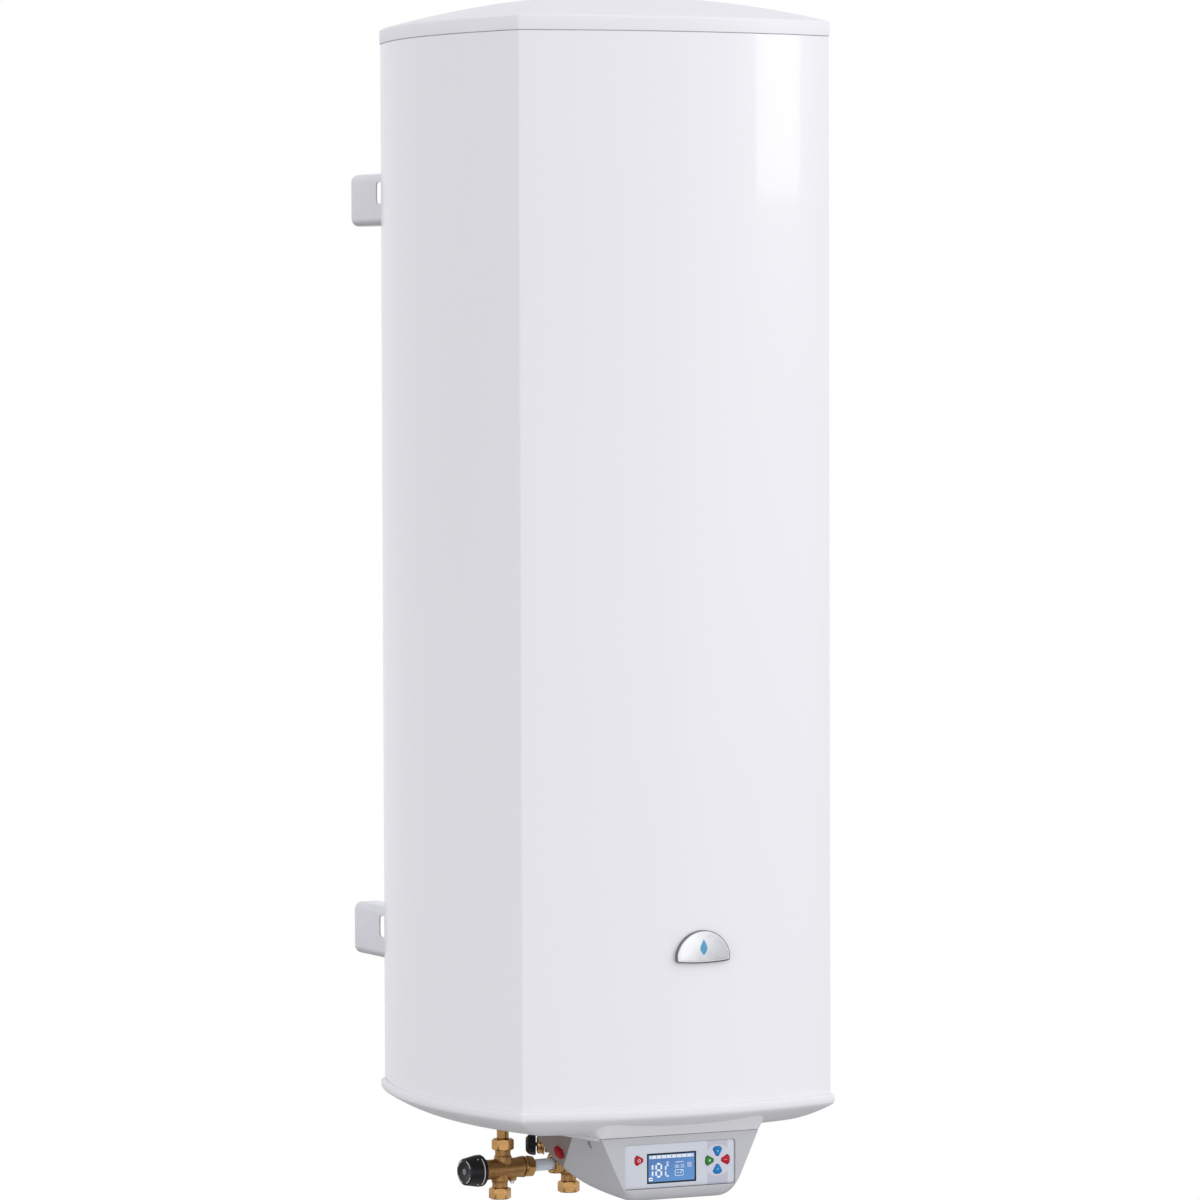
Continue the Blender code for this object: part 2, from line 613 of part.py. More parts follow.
def make_mixing_valve():
    body = put(rod_mesh("mixing_valve_body", BARREL_R, BARREL_RIGHT - BARREL_LEFT, 28),
               "mixing_valve_body", BRASS, parent=valve_axis, at=(BARREL_LEFT, 0, 0),
               turn=TO_RIGHT)
    boolean(body, port("hot_port", (0, 0, 0), (0, 0, 0), NECK_END), "UNION")
    boolean(body, port("mixed_port", (BOTTOM_PORT_X, 0, 0), DOWN, NECK_END), "UNION")
    right_neck = BARREL_RIGHT + 0.003 + NUT_RECESS - GAP
    boolean(body, port("bridge_port", (0, 0, 0), TO_RIGHT, right_neck), "UNION")
    boolean(body, drill("cartridge_bore", BARREL_BORE, 0.058, (BARREL_LEFT - 0.006, 0, 0),
                        TO_RIGHT))
    boolean(body, drill("bridge_bore", PIPE_R + GAP, 0.016, (0.0265, 0, 0), TO_RIGHT))
    boolean(body, drill("cold_way", WATERWAY_R, 0.030, (0.010, 0, 0), TO_RIGHT))
    boolean(body, drill("hot_way", WATERWAY_R, 0.040, (0, 0, 0)))
    boolean(body, drill("hot_socket", PIPE_R + GAP, 0.020, (0, 0, 0.0175)))
    boolean(body, drill("mixed_way", WATERWAY_R, 0.040, (BOTTOM_PORT_X, 0, 0), DOWN))
    boolean(body, drill("mixed_socket", PIPE_R + GAP, 0.020, (BOTTOM_PORT_X, 0, -0.0175), DOWN))
    boolean(body, drill("bleed_bore", 0.0025, 0.020, (MIXED_BLEED_X, 0, -0.005), DOWN))

    end = BARREL_LEFT - GAP
    knob_back = end - 0.0015
    face = knob_back - MIX_KNOB_L
    stem = -knob_back + 0.007
    cartridge = [(0, stem), (0.0040, stem), (0.0040, 0.020), (0.0080, 0.020),
                 (0.0080, 0.009), (0.0040, 0.009), (0.0040, -0.009), (0.0080, -0.009),
                 (0.0080, -0.014), (0, -0.014)]
    # these are drawn with the knob's end on top, then laid to the left
    turned("mixing_cartridge", cartridge, BRASS, steps=16, parent=valve_axis, turn=TO_LEFT)
    knob = [(0, -face), (MIX_KNOB_FACE_R - 0.003, -face), (MIX_KNOB_FACE_R, -face - 0.0025),
            (MIX_KNOB_R, -knob_back + 0.004), (MIX_KNOB_R, -knob_back), (0.009, -knob_back),
            (0.009, -knob_back + 0.010), (0, -knob_back + 0.010)]
    turned("mixing_knob", knob, BLACK, parent=valve_axis, turn=TO_LEFT)
    cap_low = -face + GAP
    dot = [(0, cap_low + 0.0008), (0.0030, cap_low + 0.0008), (0.0036, cap_low + 0.0002),
           (0.0036, cap_low), (0, cap_low)]
    turned("mixing_knob_cap", dot, NICKEL, steps=16, parent=valve_axis, turn=TO_LEFT)
    bleed = [(0, -0.010), (0.0022, -0.010), (0.0022, -0.0135), (0.0042, -0.0135),
             (0.0042, -0.0175), (0.0024, -0.0175), (0.0024, -0.0200), (0, -0.0200)]
    turned("bleed_screw", bleed, NICKEL, steps=16, parent=valve_axis,
           at=(MIXED_BLEED_X, 0, 0))

    top = NUT_BASE + NUT_H
    hex_nut("mixing_top_nut", NUT_BASE, top, NUT_RECESS)
    hex_nut("mixing_bottom_nut", NUT_BASE, top, NUT_RECESS, at=(BOTTOM_PORT_X, 0, 0), turn=DOWN)
    left_nut = BARREL_RIGHT + 0.003
    hex_nut("bridge_left_nut", left_nut, left_nut + 0.012, NUT_RECESS, turn=TO_RIGHT)


def make_safety_valve():
    """The cold side: a vertical body on the cold stub, the drain knob on a branch."""
    stub = (STUB_SPACING, 0, 0)
    body = put(rod_mesh("safety_valve_body", SAFETY_BODY_R, 0.036, base=-0.014),
               "safety_valve_body", BRASS, parent=valve_axis, at=stub)
    top_nut = BRANCH_Z + 0.0115
    boolean(body, port("cold_port", stub, (0, 0, 0), top_nut + NUT_RECESS - GAP), "UNION")
    boolean(body, port("inlet_port", stub, DOWN, NECK_END), "UNION")
    neck = 0.0165
    boolean(body, port("bridge_in", stub, TO_LEFT, neck - GAP), "UNION")
    branch = rod_mesh("branch", BRANCH_R, 0.030)
    boolean(body, as_cutter(put(branch, "branch", BRASS, parent=branch_axis, turn=TO_RIGHT)),
            "UNION")
    boolean(body, drill("main_way", 0.0055, 0.080, (STUB_SPACING, 0, -0.030)))
    boolean(body, drill("cold_socket", PIPE_R + GAP, 0.020, (STUB_SPACING, 0, 0.028)))
    boolean(body, drill("inlet_socket", PIPE_R + GAP, 0.020, (STUB_SPACING, 0, -0.0175), DOWN))
    boolean(body, drill("bridge_socket", PIPE_R + GAP, 0.020, (STUB_SPACING - 0.0115, 0, 0),
                        TO_LEFT))
    boolean(body, drill("bridge_way", WATERWAY_R, 0.020, stub, TO_LEFT))
    boolean(body, drill("plunger_bore", 0.0065, 0.040, (0.0095, 0, 0), TO_RIGHT, branch_axis))

    hex_nut("safety_top_nut", top_nut, top_nut + NUT_H, NUT_RECESS, at=stub)
    hex_nut("safety_bottom_nut", NUT_BASE, NUT_BASE + NUT_H, NUT_RECESS, at=stub, turn=DOWN)
    hex_nut("bridge_right_nut", neck - NUT_RECESS, neck + 0.0105, NUT_RECESS, at=stub,
            turn=TO_LEFT)

    knob_at = BRANCH_KNOB_AT
    bonnet = [(0.0085, knob_at - 0.001), (0.0118, knob_at - 0.002), (0.0118, 0.0330),
              (0.0128, 0.0303), (0.0070, 0.0303), (0.0070, knob_at - 0.001)]
    turned("safety_bonnet", bonnet, BRASS, closed=True, parent=branch_axis, turn=TO_RIGHT)
    plunger = [(0, knob_at + 0.003), (0.0025, knob_at + 0.003), (0.0025, 0.018), (0.0058, 0.018),
               (0.0058, 0.0125), (0, 0.0125)]
    turned("safety_plunger", plunger, BRASS, steps=16, parent=branch_axis, turn=TO_RIGHT)
    face = knob_at + BRANCH_KNOB_L
    knob = [(0, face), (0.0075, face - 0.0008), (0.0115, face - 0.0035),
            (BRANCH_KNOB_R, face - 0.008), (BRANCH_KNOB_R, knob_at), (0.0045, knob_at),
            (0.0045, knob_at + 0.0085), (0, knob_at + 0.0085)]
    turned("safety_knob", knob, BLACK, parent=branch_axis, turn=TO_RIGHT)


def make_pipes():
    rise = TANK_TOP - 0.050 - VALVE_Z
    tube("hot_pipe", PIPE_R, PIPE_R - PIPE_T, 0.0190, rise, BRASS, parent=valve_axis)
    cold_top = TANK_BOTTOM + 0.060 - VALVE_Z
    at = (STUB_SPACING, 0, 0)
    tube("cold_pipe", PIPE_R, PIPE_R - PIPE_T, 0.0300, cold_top, BRASS, parent=valve_axis, at=at)
    diffuser = [(0, cold_top + 0.008), (0.016, cold_top + 0.006), (0.016, cold_top - 0.012),
                (PIPE_R + GAP, cold_top - 0.012), (PIPE_R + GAP, cold_top + GAP),
                (0, cold_top + GAP)]
    turned("cold_diffuser", diffuser, PIPE_WHITE, steps=16, parent=valve_axis, at=at)
    floor = -HALF - GAP - BOTTOM_SKIRT - DISH - VALVE_Z - GAP
    for name, x in (("hot_collar", 0.0), ("cold_collar", STUB_SPACING)):
        tube(name, 0.0105, PIPE_R + GAP, floor - 0.003, floor, BRASS, parent=valve_axis,
             at=(x, 0, 0))
    tube("bridge_pipe", PIPE_R, PIPE_R - PIPE_T, BRIDGE_FROM - 0.0045, BRIDGE_TO, PIPE_WHITE,
         parent=valve_axis, turn=TO_RIGHT)


# ---------------------------------------------------------------- console

KEEL = ((FACE_Y, -0.7560), (-0.2065, -0.7620), (-0.2000, -0.7660), (-0.1880, -0.7675),
        (-0.1400, -0.7655), (-0.1000, -0.7620), (-0.0700, -0.7565), (-0.0450, -0.7480),
        (-0.0220, -0.7350), (-0.0080, -0.7180), (0.0000, -0.6960))
SEAM_TOP = (-0.1155, -0.6980)   # the slanted seam of the two covers, in YZ
SEAM_LOW = (-0.0470, -0.7430)


def console_section(bm, y, low, top=FACE_TOP, half_top=FACE_TOP_HALF):
    """One station of the boat: down a side, round the chine, along the keel, up again."""
    drop = top - low
    half_low = half_top - drop * FACE_SLOPE
    chine = min(0.015, drop * 0.45)
    left = [(-half_top, top), (-half_top + (drop - chine) * FACE_SLOPE, low + chine),
            (-half_low + chine * 0.10, low + chine * 0.35), (-half_low + chine * 0.80, low)]
    section = left + [(-x, z) for x, z in reversed(left)]
    return [bm.verts.new((x, y, z)) for x, z in section]


def trough(name):
    """Skin the stations: a boat-shaped shell, open only at the top."""
    bm = bmesh.new()
    rows = [console_section(bm, y, low) for y, low in KEEL]
    for near, far in zip(rows, rows[1:]):
        for i in range(len(near) - 1):
            bm.faces.new((near[i], near[i + 1], far[i + 1], far[i]))
    bm.faces.new(rows[0])
    bm.faces.new(rows[-1])
    return finish_mesh(bm, name, 30)


def seam_block(name, set_back):
    """A block that fills everything behind the slanted seam."""
    depth = 0.400
    lean = atan2(SEAM_LOW[0] - SEAM_TOP[0], SEAM_TOP[1] - SEAM_LOW[1])
    bm = bmesh.new()
    bmesh.ops.create_cube(bm, size=depth)
    bmesh.ops.translate(bm, vec=(0, depth / 2 + set_back, 0), verts=bm.verts)
    return as_cutter(put(finish_mesh(bm, name), name, DARK_GREY, turn=(lean, 0, 0),
                         at=(0, SEAM_TOP[0], SEAM_TOP[1])))


def shield(size, length):
    """Outline of a button: a wide rounded end that narrows to its tip at the bottom."""
    bulge = 0.16 * length
    return [(-size / 2, length * 0.22), (-size * 0.28, length / 2 - bulge * 0.2),
            (0, length / 2), (size * 0.28, length / 2 - bulge * 0.2), (size / 2, length * 0.22),
            (size * 0.14, -length / 2), (-size * 0.14, -length / 2)]


def make_console():
    deck = as_cutter(put(box_mesh("console_deck", (0.300, 0.300, 0.020)), "console_deck",
                         CONSOLE_GREY, at=(0, -0.120, FACE_TOP + 0.010)))
    shell = put(trough("console_shell"), "console_shell", CONSOLE_GREY)
    solidify(shell, SHELL_T)
    boolean(shell, deck)
    boolean(shell, seam_block("seam_front", 0.0))
    window = rounded_prism("panel_opening", rectangle(PANEL_W + 2 * GAP, PANEL_H + 2 * GAP),
                           0.020, 0.004)
    boolean(shell, as_cutter(put(window, "panel_opening", CONSOLE_GREY,
                                 at=(0, FACE_Y - 0.010, PANEL_Z))))
    rear = put(trough("console_rear"), "console_rear", DARK_GREY)
    solidify(rear, SHELL_T)
    boolean(rear, deck)
    boolean(rear, seam_block("seam_rear", GAP), "INTERSECT")

    lean = atan2(FACE_SLOPE, 1)
    marker = rounded_prism("marker_cap", rectangle(MARKER, MARKER), MARKER_PROUD, 0.0012, 1)
    for vert in marker.vertices:
        vert.co = Matrix.Rotation(radians(25), 3, "Y") @ vert.co
    inset = (FACE_TOP - MARKER_YZ[1]) * FACE_SLOPE
    side_x = -FACE_TOP_HALF + inset - GAP - MARKER_PROUD * cos(lean)
    put(marker, "marker_cap", RED, turn=(lean, 0, -pi / 2),
        at=(side_x, MARKER_YZ[0], MARKER_YZ[1] - MARKER_PROUD * sin(lean)))
    for name, side in (("console_screw_left", -1), ("console_screw_right", 1)):
        hole = rod_mesh(name + "_hole", SCREW_HOLE_R, 0.050, 16, "X", -0.025)
        boolean(shell, as_cutter(put(hole, name + "_hole", CONSOLE_GREY,
                                     at=(side * FACE_TOP_HALF, *SCREW_YZ))))
        screw = [(0, 0.0020), (0.0030, 0.0016), (0.0042, 0), (0.0018, 0), (0.0018, -0.012),
                 (0, -0.012)]
        turned(name, screw, ZINC, steps=12, turn=(0, side * pi / 2, 0),
               at=(side * (FACE_TOP_HALF - 0.0085), *SCREW_YZ))

    panel_y = FACE_Y + PANEL_RECESS
    panel = put(rounded_prism("control_panel", rectangle(PANEL_W, PANEL_H), PANEL_T, 0.0038),
                "control_panel", PANEL_SILVER, at=(0, panel_y, PANEL_Z))
    lcd_hole = rounded_prism("lcd_hole", rectangle(LCD_W, LCD_H), 0.020, 0)
    boolean(panel, as_cutter(put(lcd_hole, "lcd_hole", PANEL_SILVER,
                                 at=(LCD_X, panel_y - 0.010, LCD_Z))))
    edge = 2 * GAP
    put(box_mesh("lcd_window", (LCD_W - edge, 0.0012, LCD_H - edge)), "lcd_window", CLEAR,
        at=(LCD_X, panel_y + 0.0006, LCD_Z))
    module_t = 0.0044
    put(box_mesh("lcd_module", (LCD_W + 0.010, module_t, LCD_H + 0.006)), "lcd_module", LCD_BLUE,
        at=(LCD_X, panel_y + PANEL_T + GAP + module_t / 2, LCD_Z))

    make_button("power_button", POWER_X, POWER_Z, pi / 2, RED, panel, panel_y)
    for name, angle, colour in (("button_up", 0.0, BLUE), ("button_left", pi / 2, GREEN),
                                ("button_down", pi, BLUE), ("button_right", -pi / 2, RED)):
        make_button(name, BUTTONS_X - BUTTON_OFF * sin(angle), BUTTONS_Z + BUTTON_OFF * cos(angle),
                    angle, colour, panel, panel_y)

    board_t = 0.0016
    board_y = panel_y + PANEL_T + GAP + module_t + GAP + board_t / 2
    put(box_mesh("control_board", (0.138, board_t, 0.044)), "control_board", BOARD,
        at=(0, board_y, PANEL_Z + 0.001))
    put(box_mesh("terminal_block", (0.044, 0.016, 0.016)), "terminal_block", PIPE_WHITE,
        at=(0.030, -0.140, -0.715))


def make_button(name, x, z, angle, colour, panel, panel_y):
    """A push button in its own hole; it slides along +Y."""
    clearance = 1 + 4 * GAP / BUTTON_SIZE[1]
    turn = (0, -angle, 0)
    outline = shield(*(size * clearance for size in BUTTON_SIZE))
    hole = rounded_prism(name + "_hole", outline, 0.020, 0.0006, 1)
    boolean(panel, as_cutter(put(hole, name + "_hole", colour, at=(x, panel_y - 0.010, z),
                                 turn=turn)))
    put(rounded_prism(name, shield(*BUTTON_SIZE), BUTTON_DEPTH, 0.0006, 1), name, colour,
        at=(x, panel_y - BUTTON_PROUD, z), turn=turn)


# ---------------------------------------------------------------- small parts

def make_badge():
    """A dome-topped plate, bent to the front face."""
    half = BADGE_W / 2
    straight = 0.012
    rise = BADGE_H - straight
    radius = (half ** 2 + rise ** 2) / (2 * rise)
    spread = asin(half / radius)
    arc = [(radius * sin(spread * (1 - i / 6)), straight + rise - radius
            + radius * cos(spread * (1 - i / 6))) for i in range(13)]
    corners = [(x, z - BADGE_H / 2) for x, z in [(-half, 0), (half, 0)] + arc]
    badge = rounded_prism("badge", corners, BADGE_T, 0)
    front = -(DEPTH / 2 + bow(WIDTH / 2, BOW_FRONT, BADGE_X / (WIDTH / 2))[1])
    lean = 2 * asin(BOW_FRONT / hypot(WIDTH / 2, BOW_FRONT)) * BADGE_X / (WIDTH / 2)
    put(badge, "badge", BADGE_SILVER, at=(BADGE_X, front - BADGE_T - 0.0035, BADGE_Z),
        turn=(0, 0, lean))


casing_clearance = as_cutter(put(casing_prism("casing_clearance", GAP, -HALF, HALF),
                                 "casing_clearance", WHITE))

make_jacket()
make_top_cap()
make_bottom_cap()
make_foam()
make_tank()
for level, height in (("upper", UPPER_BRACKET_Z), ("lower", LOWER_BRACKET_Z)):
    for hand, side in (("left", -1), ("right", 1)):
        make_bracket(f"{level}_{hand}_bracket", side, height)
make_flange()
make_pipes()
make_mixing_valve()
make_safety_valve()
make_console()
make_badge()
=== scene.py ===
"""The looks of a wall-hung tank water heater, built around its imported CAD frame.

The casing, its caps, the brackets, the brass valves, the console and its
buttons are each remodelled here at the place the frame gives them. The pieces
inside the casing keep their CAD meshes and get a material. Blender 4.5, metres,
+Z up, the wall at +Y.
"""

import json
from math import asin, atan2, cos, hypot, pi, radians, sin, tan

import bmesh
import bpy
from mathutils import Matrix, Vector


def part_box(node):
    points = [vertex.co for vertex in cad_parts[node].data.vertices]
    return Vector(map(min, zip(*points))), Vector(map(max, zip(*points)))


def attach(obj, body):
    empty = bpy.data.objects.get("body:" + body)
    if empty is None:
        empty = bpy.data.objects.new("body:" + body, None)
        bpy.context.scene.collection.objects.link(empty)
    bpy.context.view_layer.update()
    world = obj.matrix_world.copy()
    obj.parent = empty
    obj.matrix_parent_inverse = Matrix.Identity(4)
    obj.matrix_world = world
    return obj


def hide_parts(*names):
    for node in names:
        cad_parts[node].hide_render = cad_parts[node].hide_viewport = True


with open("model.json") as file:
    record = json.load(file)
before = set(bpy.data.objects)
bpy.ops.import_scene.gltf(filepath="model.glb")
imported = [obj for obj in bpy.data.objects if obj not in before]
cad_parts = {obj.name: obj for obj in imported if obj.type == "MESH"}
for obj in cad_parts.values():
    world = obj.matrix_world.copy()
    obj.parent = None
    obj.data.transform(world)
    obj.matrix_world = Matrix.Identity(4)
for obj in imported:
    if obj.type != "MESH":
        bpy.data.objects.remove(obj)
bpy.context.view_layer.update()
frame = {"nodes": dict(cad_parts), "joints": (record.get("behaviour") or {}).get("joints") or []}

# ---------------------------------------------------------------- dimensions

WIDTH = 0.420               # between the front corners
DEPTH = 0.408               # from a front corner to the back corner
BOW_FRONT = 0.035           # how far each face bows out past its corners
BOW_SIDE = 0.037
BOW_BACK = 0.036
CORNER_R = 0.004
ARC_STEPS = 24              # flats in each bowed face
CORNER_STEPS = 5
JACKET_T = 0.0012
LOCK_SEAM_W = 0.009         # folded seam down the jacket's back
LOCK_SEAM_PROUD = 0.0016

CAP_T = 0.0025
TOP_SKIRT = 0.018
TOP_PROUD = 0.0008
CROWN = 0.036
BOTTOM_SKIRT = 0.011
BOTTOM_PROUD = 0.0035
DISH = 0.0255
DISH_RIM = 0.30             # share of the half width that the curved rim takes
SERVICE_HOLE_R = 0.079
GLAND_HOLE_R = 0.0088

WALL_Y = 0.334              # wall plane behind the casing's centre
BRACKET_X = 0.197
BRACKET_SIZE_Z = 0.066
BRACKET_FLANGE = 0.030
BRACKET_T = 0.002
BRACKET_BEND = 0.010
WINDOW = 0.027
WINDOW_UP = 0.008
WINDOW_FROM_WALL = 0.085
BOLT_SLOT = (0.010, 0.030)
BOLT_X = 0.179
PAN_FROM = 0.180            # where the pan starts, before the casing is cut out of it

PIPE_R = 0.0075
PIPE_T = 0.001
NUT_AF = 0.024              # across the flats
NUT_H = 0.0145
NUT_BASE = 0.023            # from a valve's axis to the nut's inner end
NUT_RECESS = 0.0035
NECK_R = 0.0097
BARREL_R = 0.013
BARREL_LEFT = -0.033
BARREL_RIGHT = 0.028
BOTTOM_PORT_X = -0.0045
BLEED_X = 0.014
KNOB_BACK = -0.0348
KNOB_L = 0.0235
KNOB_R = 0.0198
KNOB_FACE_R = 0.0168
BRIDGE_NUT_END = 0.043      # outer end of the left nut on the bridge pipe
BRIDGE_TO = 0.086
SAFETY_R = 0.0125
SAFETY_LOW = -0.014
SAFETY_HIGH = 0.022
BRANCH_R = 0.0105
BRANCH_END = 0.0298
BRIDGE_NECK = 0.0165        # from the safety valve's axis to the end of its left neck
BRANCH_KNOB_AT = 0.041
BRANCH_KNOB_R = 0.0134
BRANCH_KNOB_L = 0.013

FACE_Y = -0.209             # console, from the casing's centre
FACE_TOP = -0.6874
FACE_TOP_HALF = 0.107
FACE_SLOPE = 0.458
SHELL_T = 0.0025
DECK_DROP = 0.0005          # the shell stops this far below the cap
KEEL = ((FACE_Y, -0.7560), (-0.2065, -0.7620), (-0.2000, -0.7660), (-0.1880, -0.7675),
        (-0.1400, -0.7655), (-0.1000, -0.7620), (-0.0700, -0.7565), (-0.0450, -0.7480),
        (-0.0220, -0.7350), (-0.0080, -0.7180), (0.0000, -0.6960))
# The slanted seam between the pale front shell and the rear cover, whose dark colour is painted
# shade.
SEAM_TOP = (-0.1155, -0.6980)
SEAM_LOW = (-0.0470, -0.7430)
SEAM_GAP = 0.0005
SEAT_MARGIN = 0.0012
SEAT_FLARE = 0.0138
SEAT_HEIGHT = 0.018
SEAT_CORNER = 0.030         # how much rounder its corners grow towards the cap
SEAT_REAR = -0.150
CHEEK_REAR = -0.066
CHEEK_DROP = 0.0096
PANEL = (0.150, 0.054)
PANEL_Z = -0.7243
PANEL_T = 0.0025
PANEL_RECESS = 0.0018
PANEL_CORNER = 0.0038
LCD = (0.067, 0.037)
LCD_AT = (-0.011, -0.7275)
BUTTONS_AT = (0.0515, -0.722)
BUTTON_OFF = 0.011
BUTTON_SIZE = (0.0122, 0.0110)
BUTTON_PROUD = 0.0010
BUTTON_DEPTH = 0.0055
POWER_AT = (-0.0555, -0.7165)
BAND_HALF = 0.01385         # printed band and disc behind the four buttons
DISC_R = 0.01925
MARKER = 0.0125
MARKER_PROUD = 0.006
MARKER_YZ = (-0.0646, -0.7196)
SCREW_YZ = (-0.1660, -0.6985)
SCREW_HOLE_R = 0.0050

BADGE = (0.073, 0.040)
BADGE_AT = (0.015, -0.456)
BADGE_T = 0.0015

GAP = 0.0003                # clearance between touching pieces
INK = 0.00012               # thickness of a printed mark
ROUND = 64                  # sides of a turned piece

# ---------------------------------------------------------------- places

jacket_low, jacket_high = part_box("jacket")
HALF = (jacket_high.z - jacket_low.z) / 2
CASING = Matrix.Translation(((jacket_low.x + jacket_high.x) / 2,
                             jacket_high.y - DEPTH / 2 - BOW_BACK,
                             (jacket_low.z + jacket_high.z) / 2))
joints = {joint["name"]: joint for joint in frame["joints"]}


def middle(node):
    low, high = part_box(node)
    return (low + high) / 2


def upright_frame(stub, joint):
    """A frame on a stub's axis, level with a joint and turned to its axis."""
    axis = joints[joint]["axis"]
    height = joints[joint]["pos_m"][2]
    return (Matrix.Translation((stub.x, stub.y, height))
            @ Matrix.Rotation(atan2(axis[1], axis[0]), 4, "Z"))


hot, cold = middle("hot_collar"), middle("cold_collar")
VALVE = upright_frame(hot, "mixing_knob_turn")
STUB_SPACING = hypot(cold.x - hot.x, cold.y - hot.y)
SAFETY = VALVE @ Matrix.Translation((STUB_SPACING, 0, 0))
BRANCH = upright_frame(cold, "safety_knob_turn")
BRANCH_Z = BRANCH.translation.z - VALVE.translation.z
TOP_NUT = BRANCH_Z + 0.0115
FLOOR_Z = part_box("bottom_cap")[0].z     # underside of the casing

TO_RIGHT = Matrix.Rotation(pi / 2, 4, "Y")
TO_LEFT = Matrix.Rotation(-pi / 2, 4, "Y")
DOWN = Matrix.Rotation(pi, 4, "X")
TO_FRONT = Matrix.Rotation(pi / 2, 4, "X")


def at(x=0.0, y=0.0, z=0.0):
    return Matrix.Translation((x, y, z))


# ---------------------------------------------------------------- materials

class Nodes:
    """The node tree of a material or a world, with short ways to add to it."""

    def __init__(self, owner, coords="Object"):
        owner.use_nodes = True
        self.owner = owner
        self.tree = owner.node_tree
        self.coords = self.add("TexCoord", output=coords)

    def feed(self, node, inputs):
        """Set a node's inputs to numbers, colours or other nodes' outputs."""
        for socket, value in inputs.items():
            if isinstance(value, bpy.types.NodeSocket):
                self.tree.links.new(value, node.inputs[socket])
            else:
                node.inputs[socket].default_value = value

    def add(self, kind, inputs=(), output=0, **settings):
        node = self.tree.nodes.new("ShaderNode" + kind)
        for key, value in settings.items():
            setattr(node, key, value)
        self.feed(node, dict(inputs))
        return node.outputs[output]

    def noise(self, scale, detail=3.0, stretch=(1, 1, 1), roughness=0.55):
        vector = self.add("Mapping", {"Vector": self.coords, "Scale": stretch})
        return self.add("TexNoise", {"Vector": vector, "Scale": scale, "Detail": detail,
                                     "Roughness": roughness}, "Fac")

    def cells(self, scale):
        return self.add("TexVoronoi", {"Vector": self.coords, "Scale": scale}, "Distance")

    def spread(self, value, low, high, to_low, to_high):
        """Map a value from one range to another, easing in and out."""
        return self.add("MapRange", {"Value": value, "From Min": low, "From Max": high,
                                     "To Min": to_low, "To Max": to_high}, "Result",
                        interpolation_type="SMOOTHSTEP")

    def blend(self, value, first, second):
        """A colour between two colours, each a triple or another node's output."""
        first, second = ((*colour, 1.0) if isinstance(colour, tuple) else colour
                         for colour in (first, second))
        return self.add("Mix", {"Factor": value, 6: first, 7: second}, 2, data_type="RGBA")

    def maths(self, operation, first, second=0.0):
        return self.add("Math", {0: first, 1: second}, operation=operation)

    def parts(self):
        """The coordinates' three numbers."""
        return self.add("SeparateXYZ", {0: self.coords}).node.outputs

    def shade(self, height=None, depth=0.0, **inputs):
        """Set the material's shader inputs by name, and the depth of its bump."""
        if height is not None:
            inputs["normal"] = self.add("Bump", {"Strength": 1.0, "Distance": depth,
                                                 "Height": height}, "Normal")
        self.feed(self.tree.nodes["Principled BSDF"], {
            key.replace("_", " ").title().replace("Ior", "IOR"): value
            for key, value in inputs.items()})
        return self.owner


def material_nodes(name):
    return Nodes(bpy.data.materials.new(name))


def finish(name, colour, roughness, mottle=(6.0, 0.03), grain=(400.0, 2e-5), gloss=0.05,
           stretch=(1, 1, 1), cellular=False, **inputs):
    """A material whose colour drifts, whose gloss varies and whose surface has a grain.

    mottle is the drift's scale and its share of the colour, grain the scale and
    depth of the surface texture, gloss how far the roughness swings either way.
    """
    nodes = material_nodes(name)
    drift, sheen = (nodes.noise(mottle[0] * factor, stretch=stretch) for factor in (1, 3.7))
    dark, pale = (tuple(min(1.0, channel * (1 + sign * mottle[1])) for channel in colour)
                  for sign in (-1, 1))
    skin = nodes.cells(grain[0]) if cellular else nodes.noise(grain[0], stretch=stretch)
    return nodes.shade(
        skin, grain[1], base_color=nodes.blend(nodes.spread(drift, 0.2, 0.8, 0, 1), dark, pale),
        roughness=nodes.spread(sheen, 0.2, 0.8, roughness - gloss, roughness + gloss), **inputs)


ENAMEL = finish("casing_enamel", (0.800, 0.803, 0.820), 0.30, (1.6, 0.008), (260.0, 3e-5), 0.012,
                coat_weight=0.6, coat_roughness=0.07)
CAP = finish("cap_plastic", (0.780, 0.782, 0.800), 0.36, (2.5, 0.010), (900.0, 2e-5), 0.04)
BRACKET = finish("bracket_paint", (0.640, 0.642, 0.670), 0.24, (30.0, 0.02), (420.0, 6e-5),
                 coat_weight=0.4, coat_roughness=0.06)
CONSOLE = finish("console_plastic", (0.500, 0.508, 0.522), 0.42, (14.0, 0.02), (1500.0, 3e-5),
                 0.04)
# The console's rear cover: its dark grey-brown colour is painted shade, the shadow that the
# valves cast on the console's rear.
REAR_COVER_SHADE = finish("rear_cover_plastic", (0.235, 0.200, 0.192), 0.46, (20.0, 0.06),
                    (1300.0, 4e-5))
BLACK = finish("knob_black", (0.007, 0.007, 0.008), 0.36, (60.0, 0.25), (1700.0, 3e-5), 0.07,
               specular_ior_level=0.28)
PRINT = finish("knob_print", (0.62, 0.63, 0.65), 0.55, (500.0, 0.10), (2500.0, 1e-5))
RUBBER = finish("gasket_rubber", (0.025, 0.025, 0.026), 0.75, (40.0, 0.2), (900.0, 5e-5))
NICKEL = finish("nickel", (0.62, 0.61, 0.58), 0.24, (200.0, 0.08), (1400.0, 1e-5),
                stretch=(1, 1, 8), metallic=1.0)
STEEL = finish("tank_steel", (0.60, 0.61, 0.62), 0.34, (9.0, 0.05), (700.0, 3e-5),
               stretch=(1, 1, 0.06), metallic=1.0)
ZINC = finish("zinc_plate", (0.62, 0.63, 0.62), 0.36, (70.0, 0.12), (500.0, 3e-5), 0.10,
              metallic=1.0)
FOAM = finish("insulation_foam", (0.80, 0.68, 0.36), 0.92, (12.0, 0.10), (420.0, 6e-4),
              cellular=True)
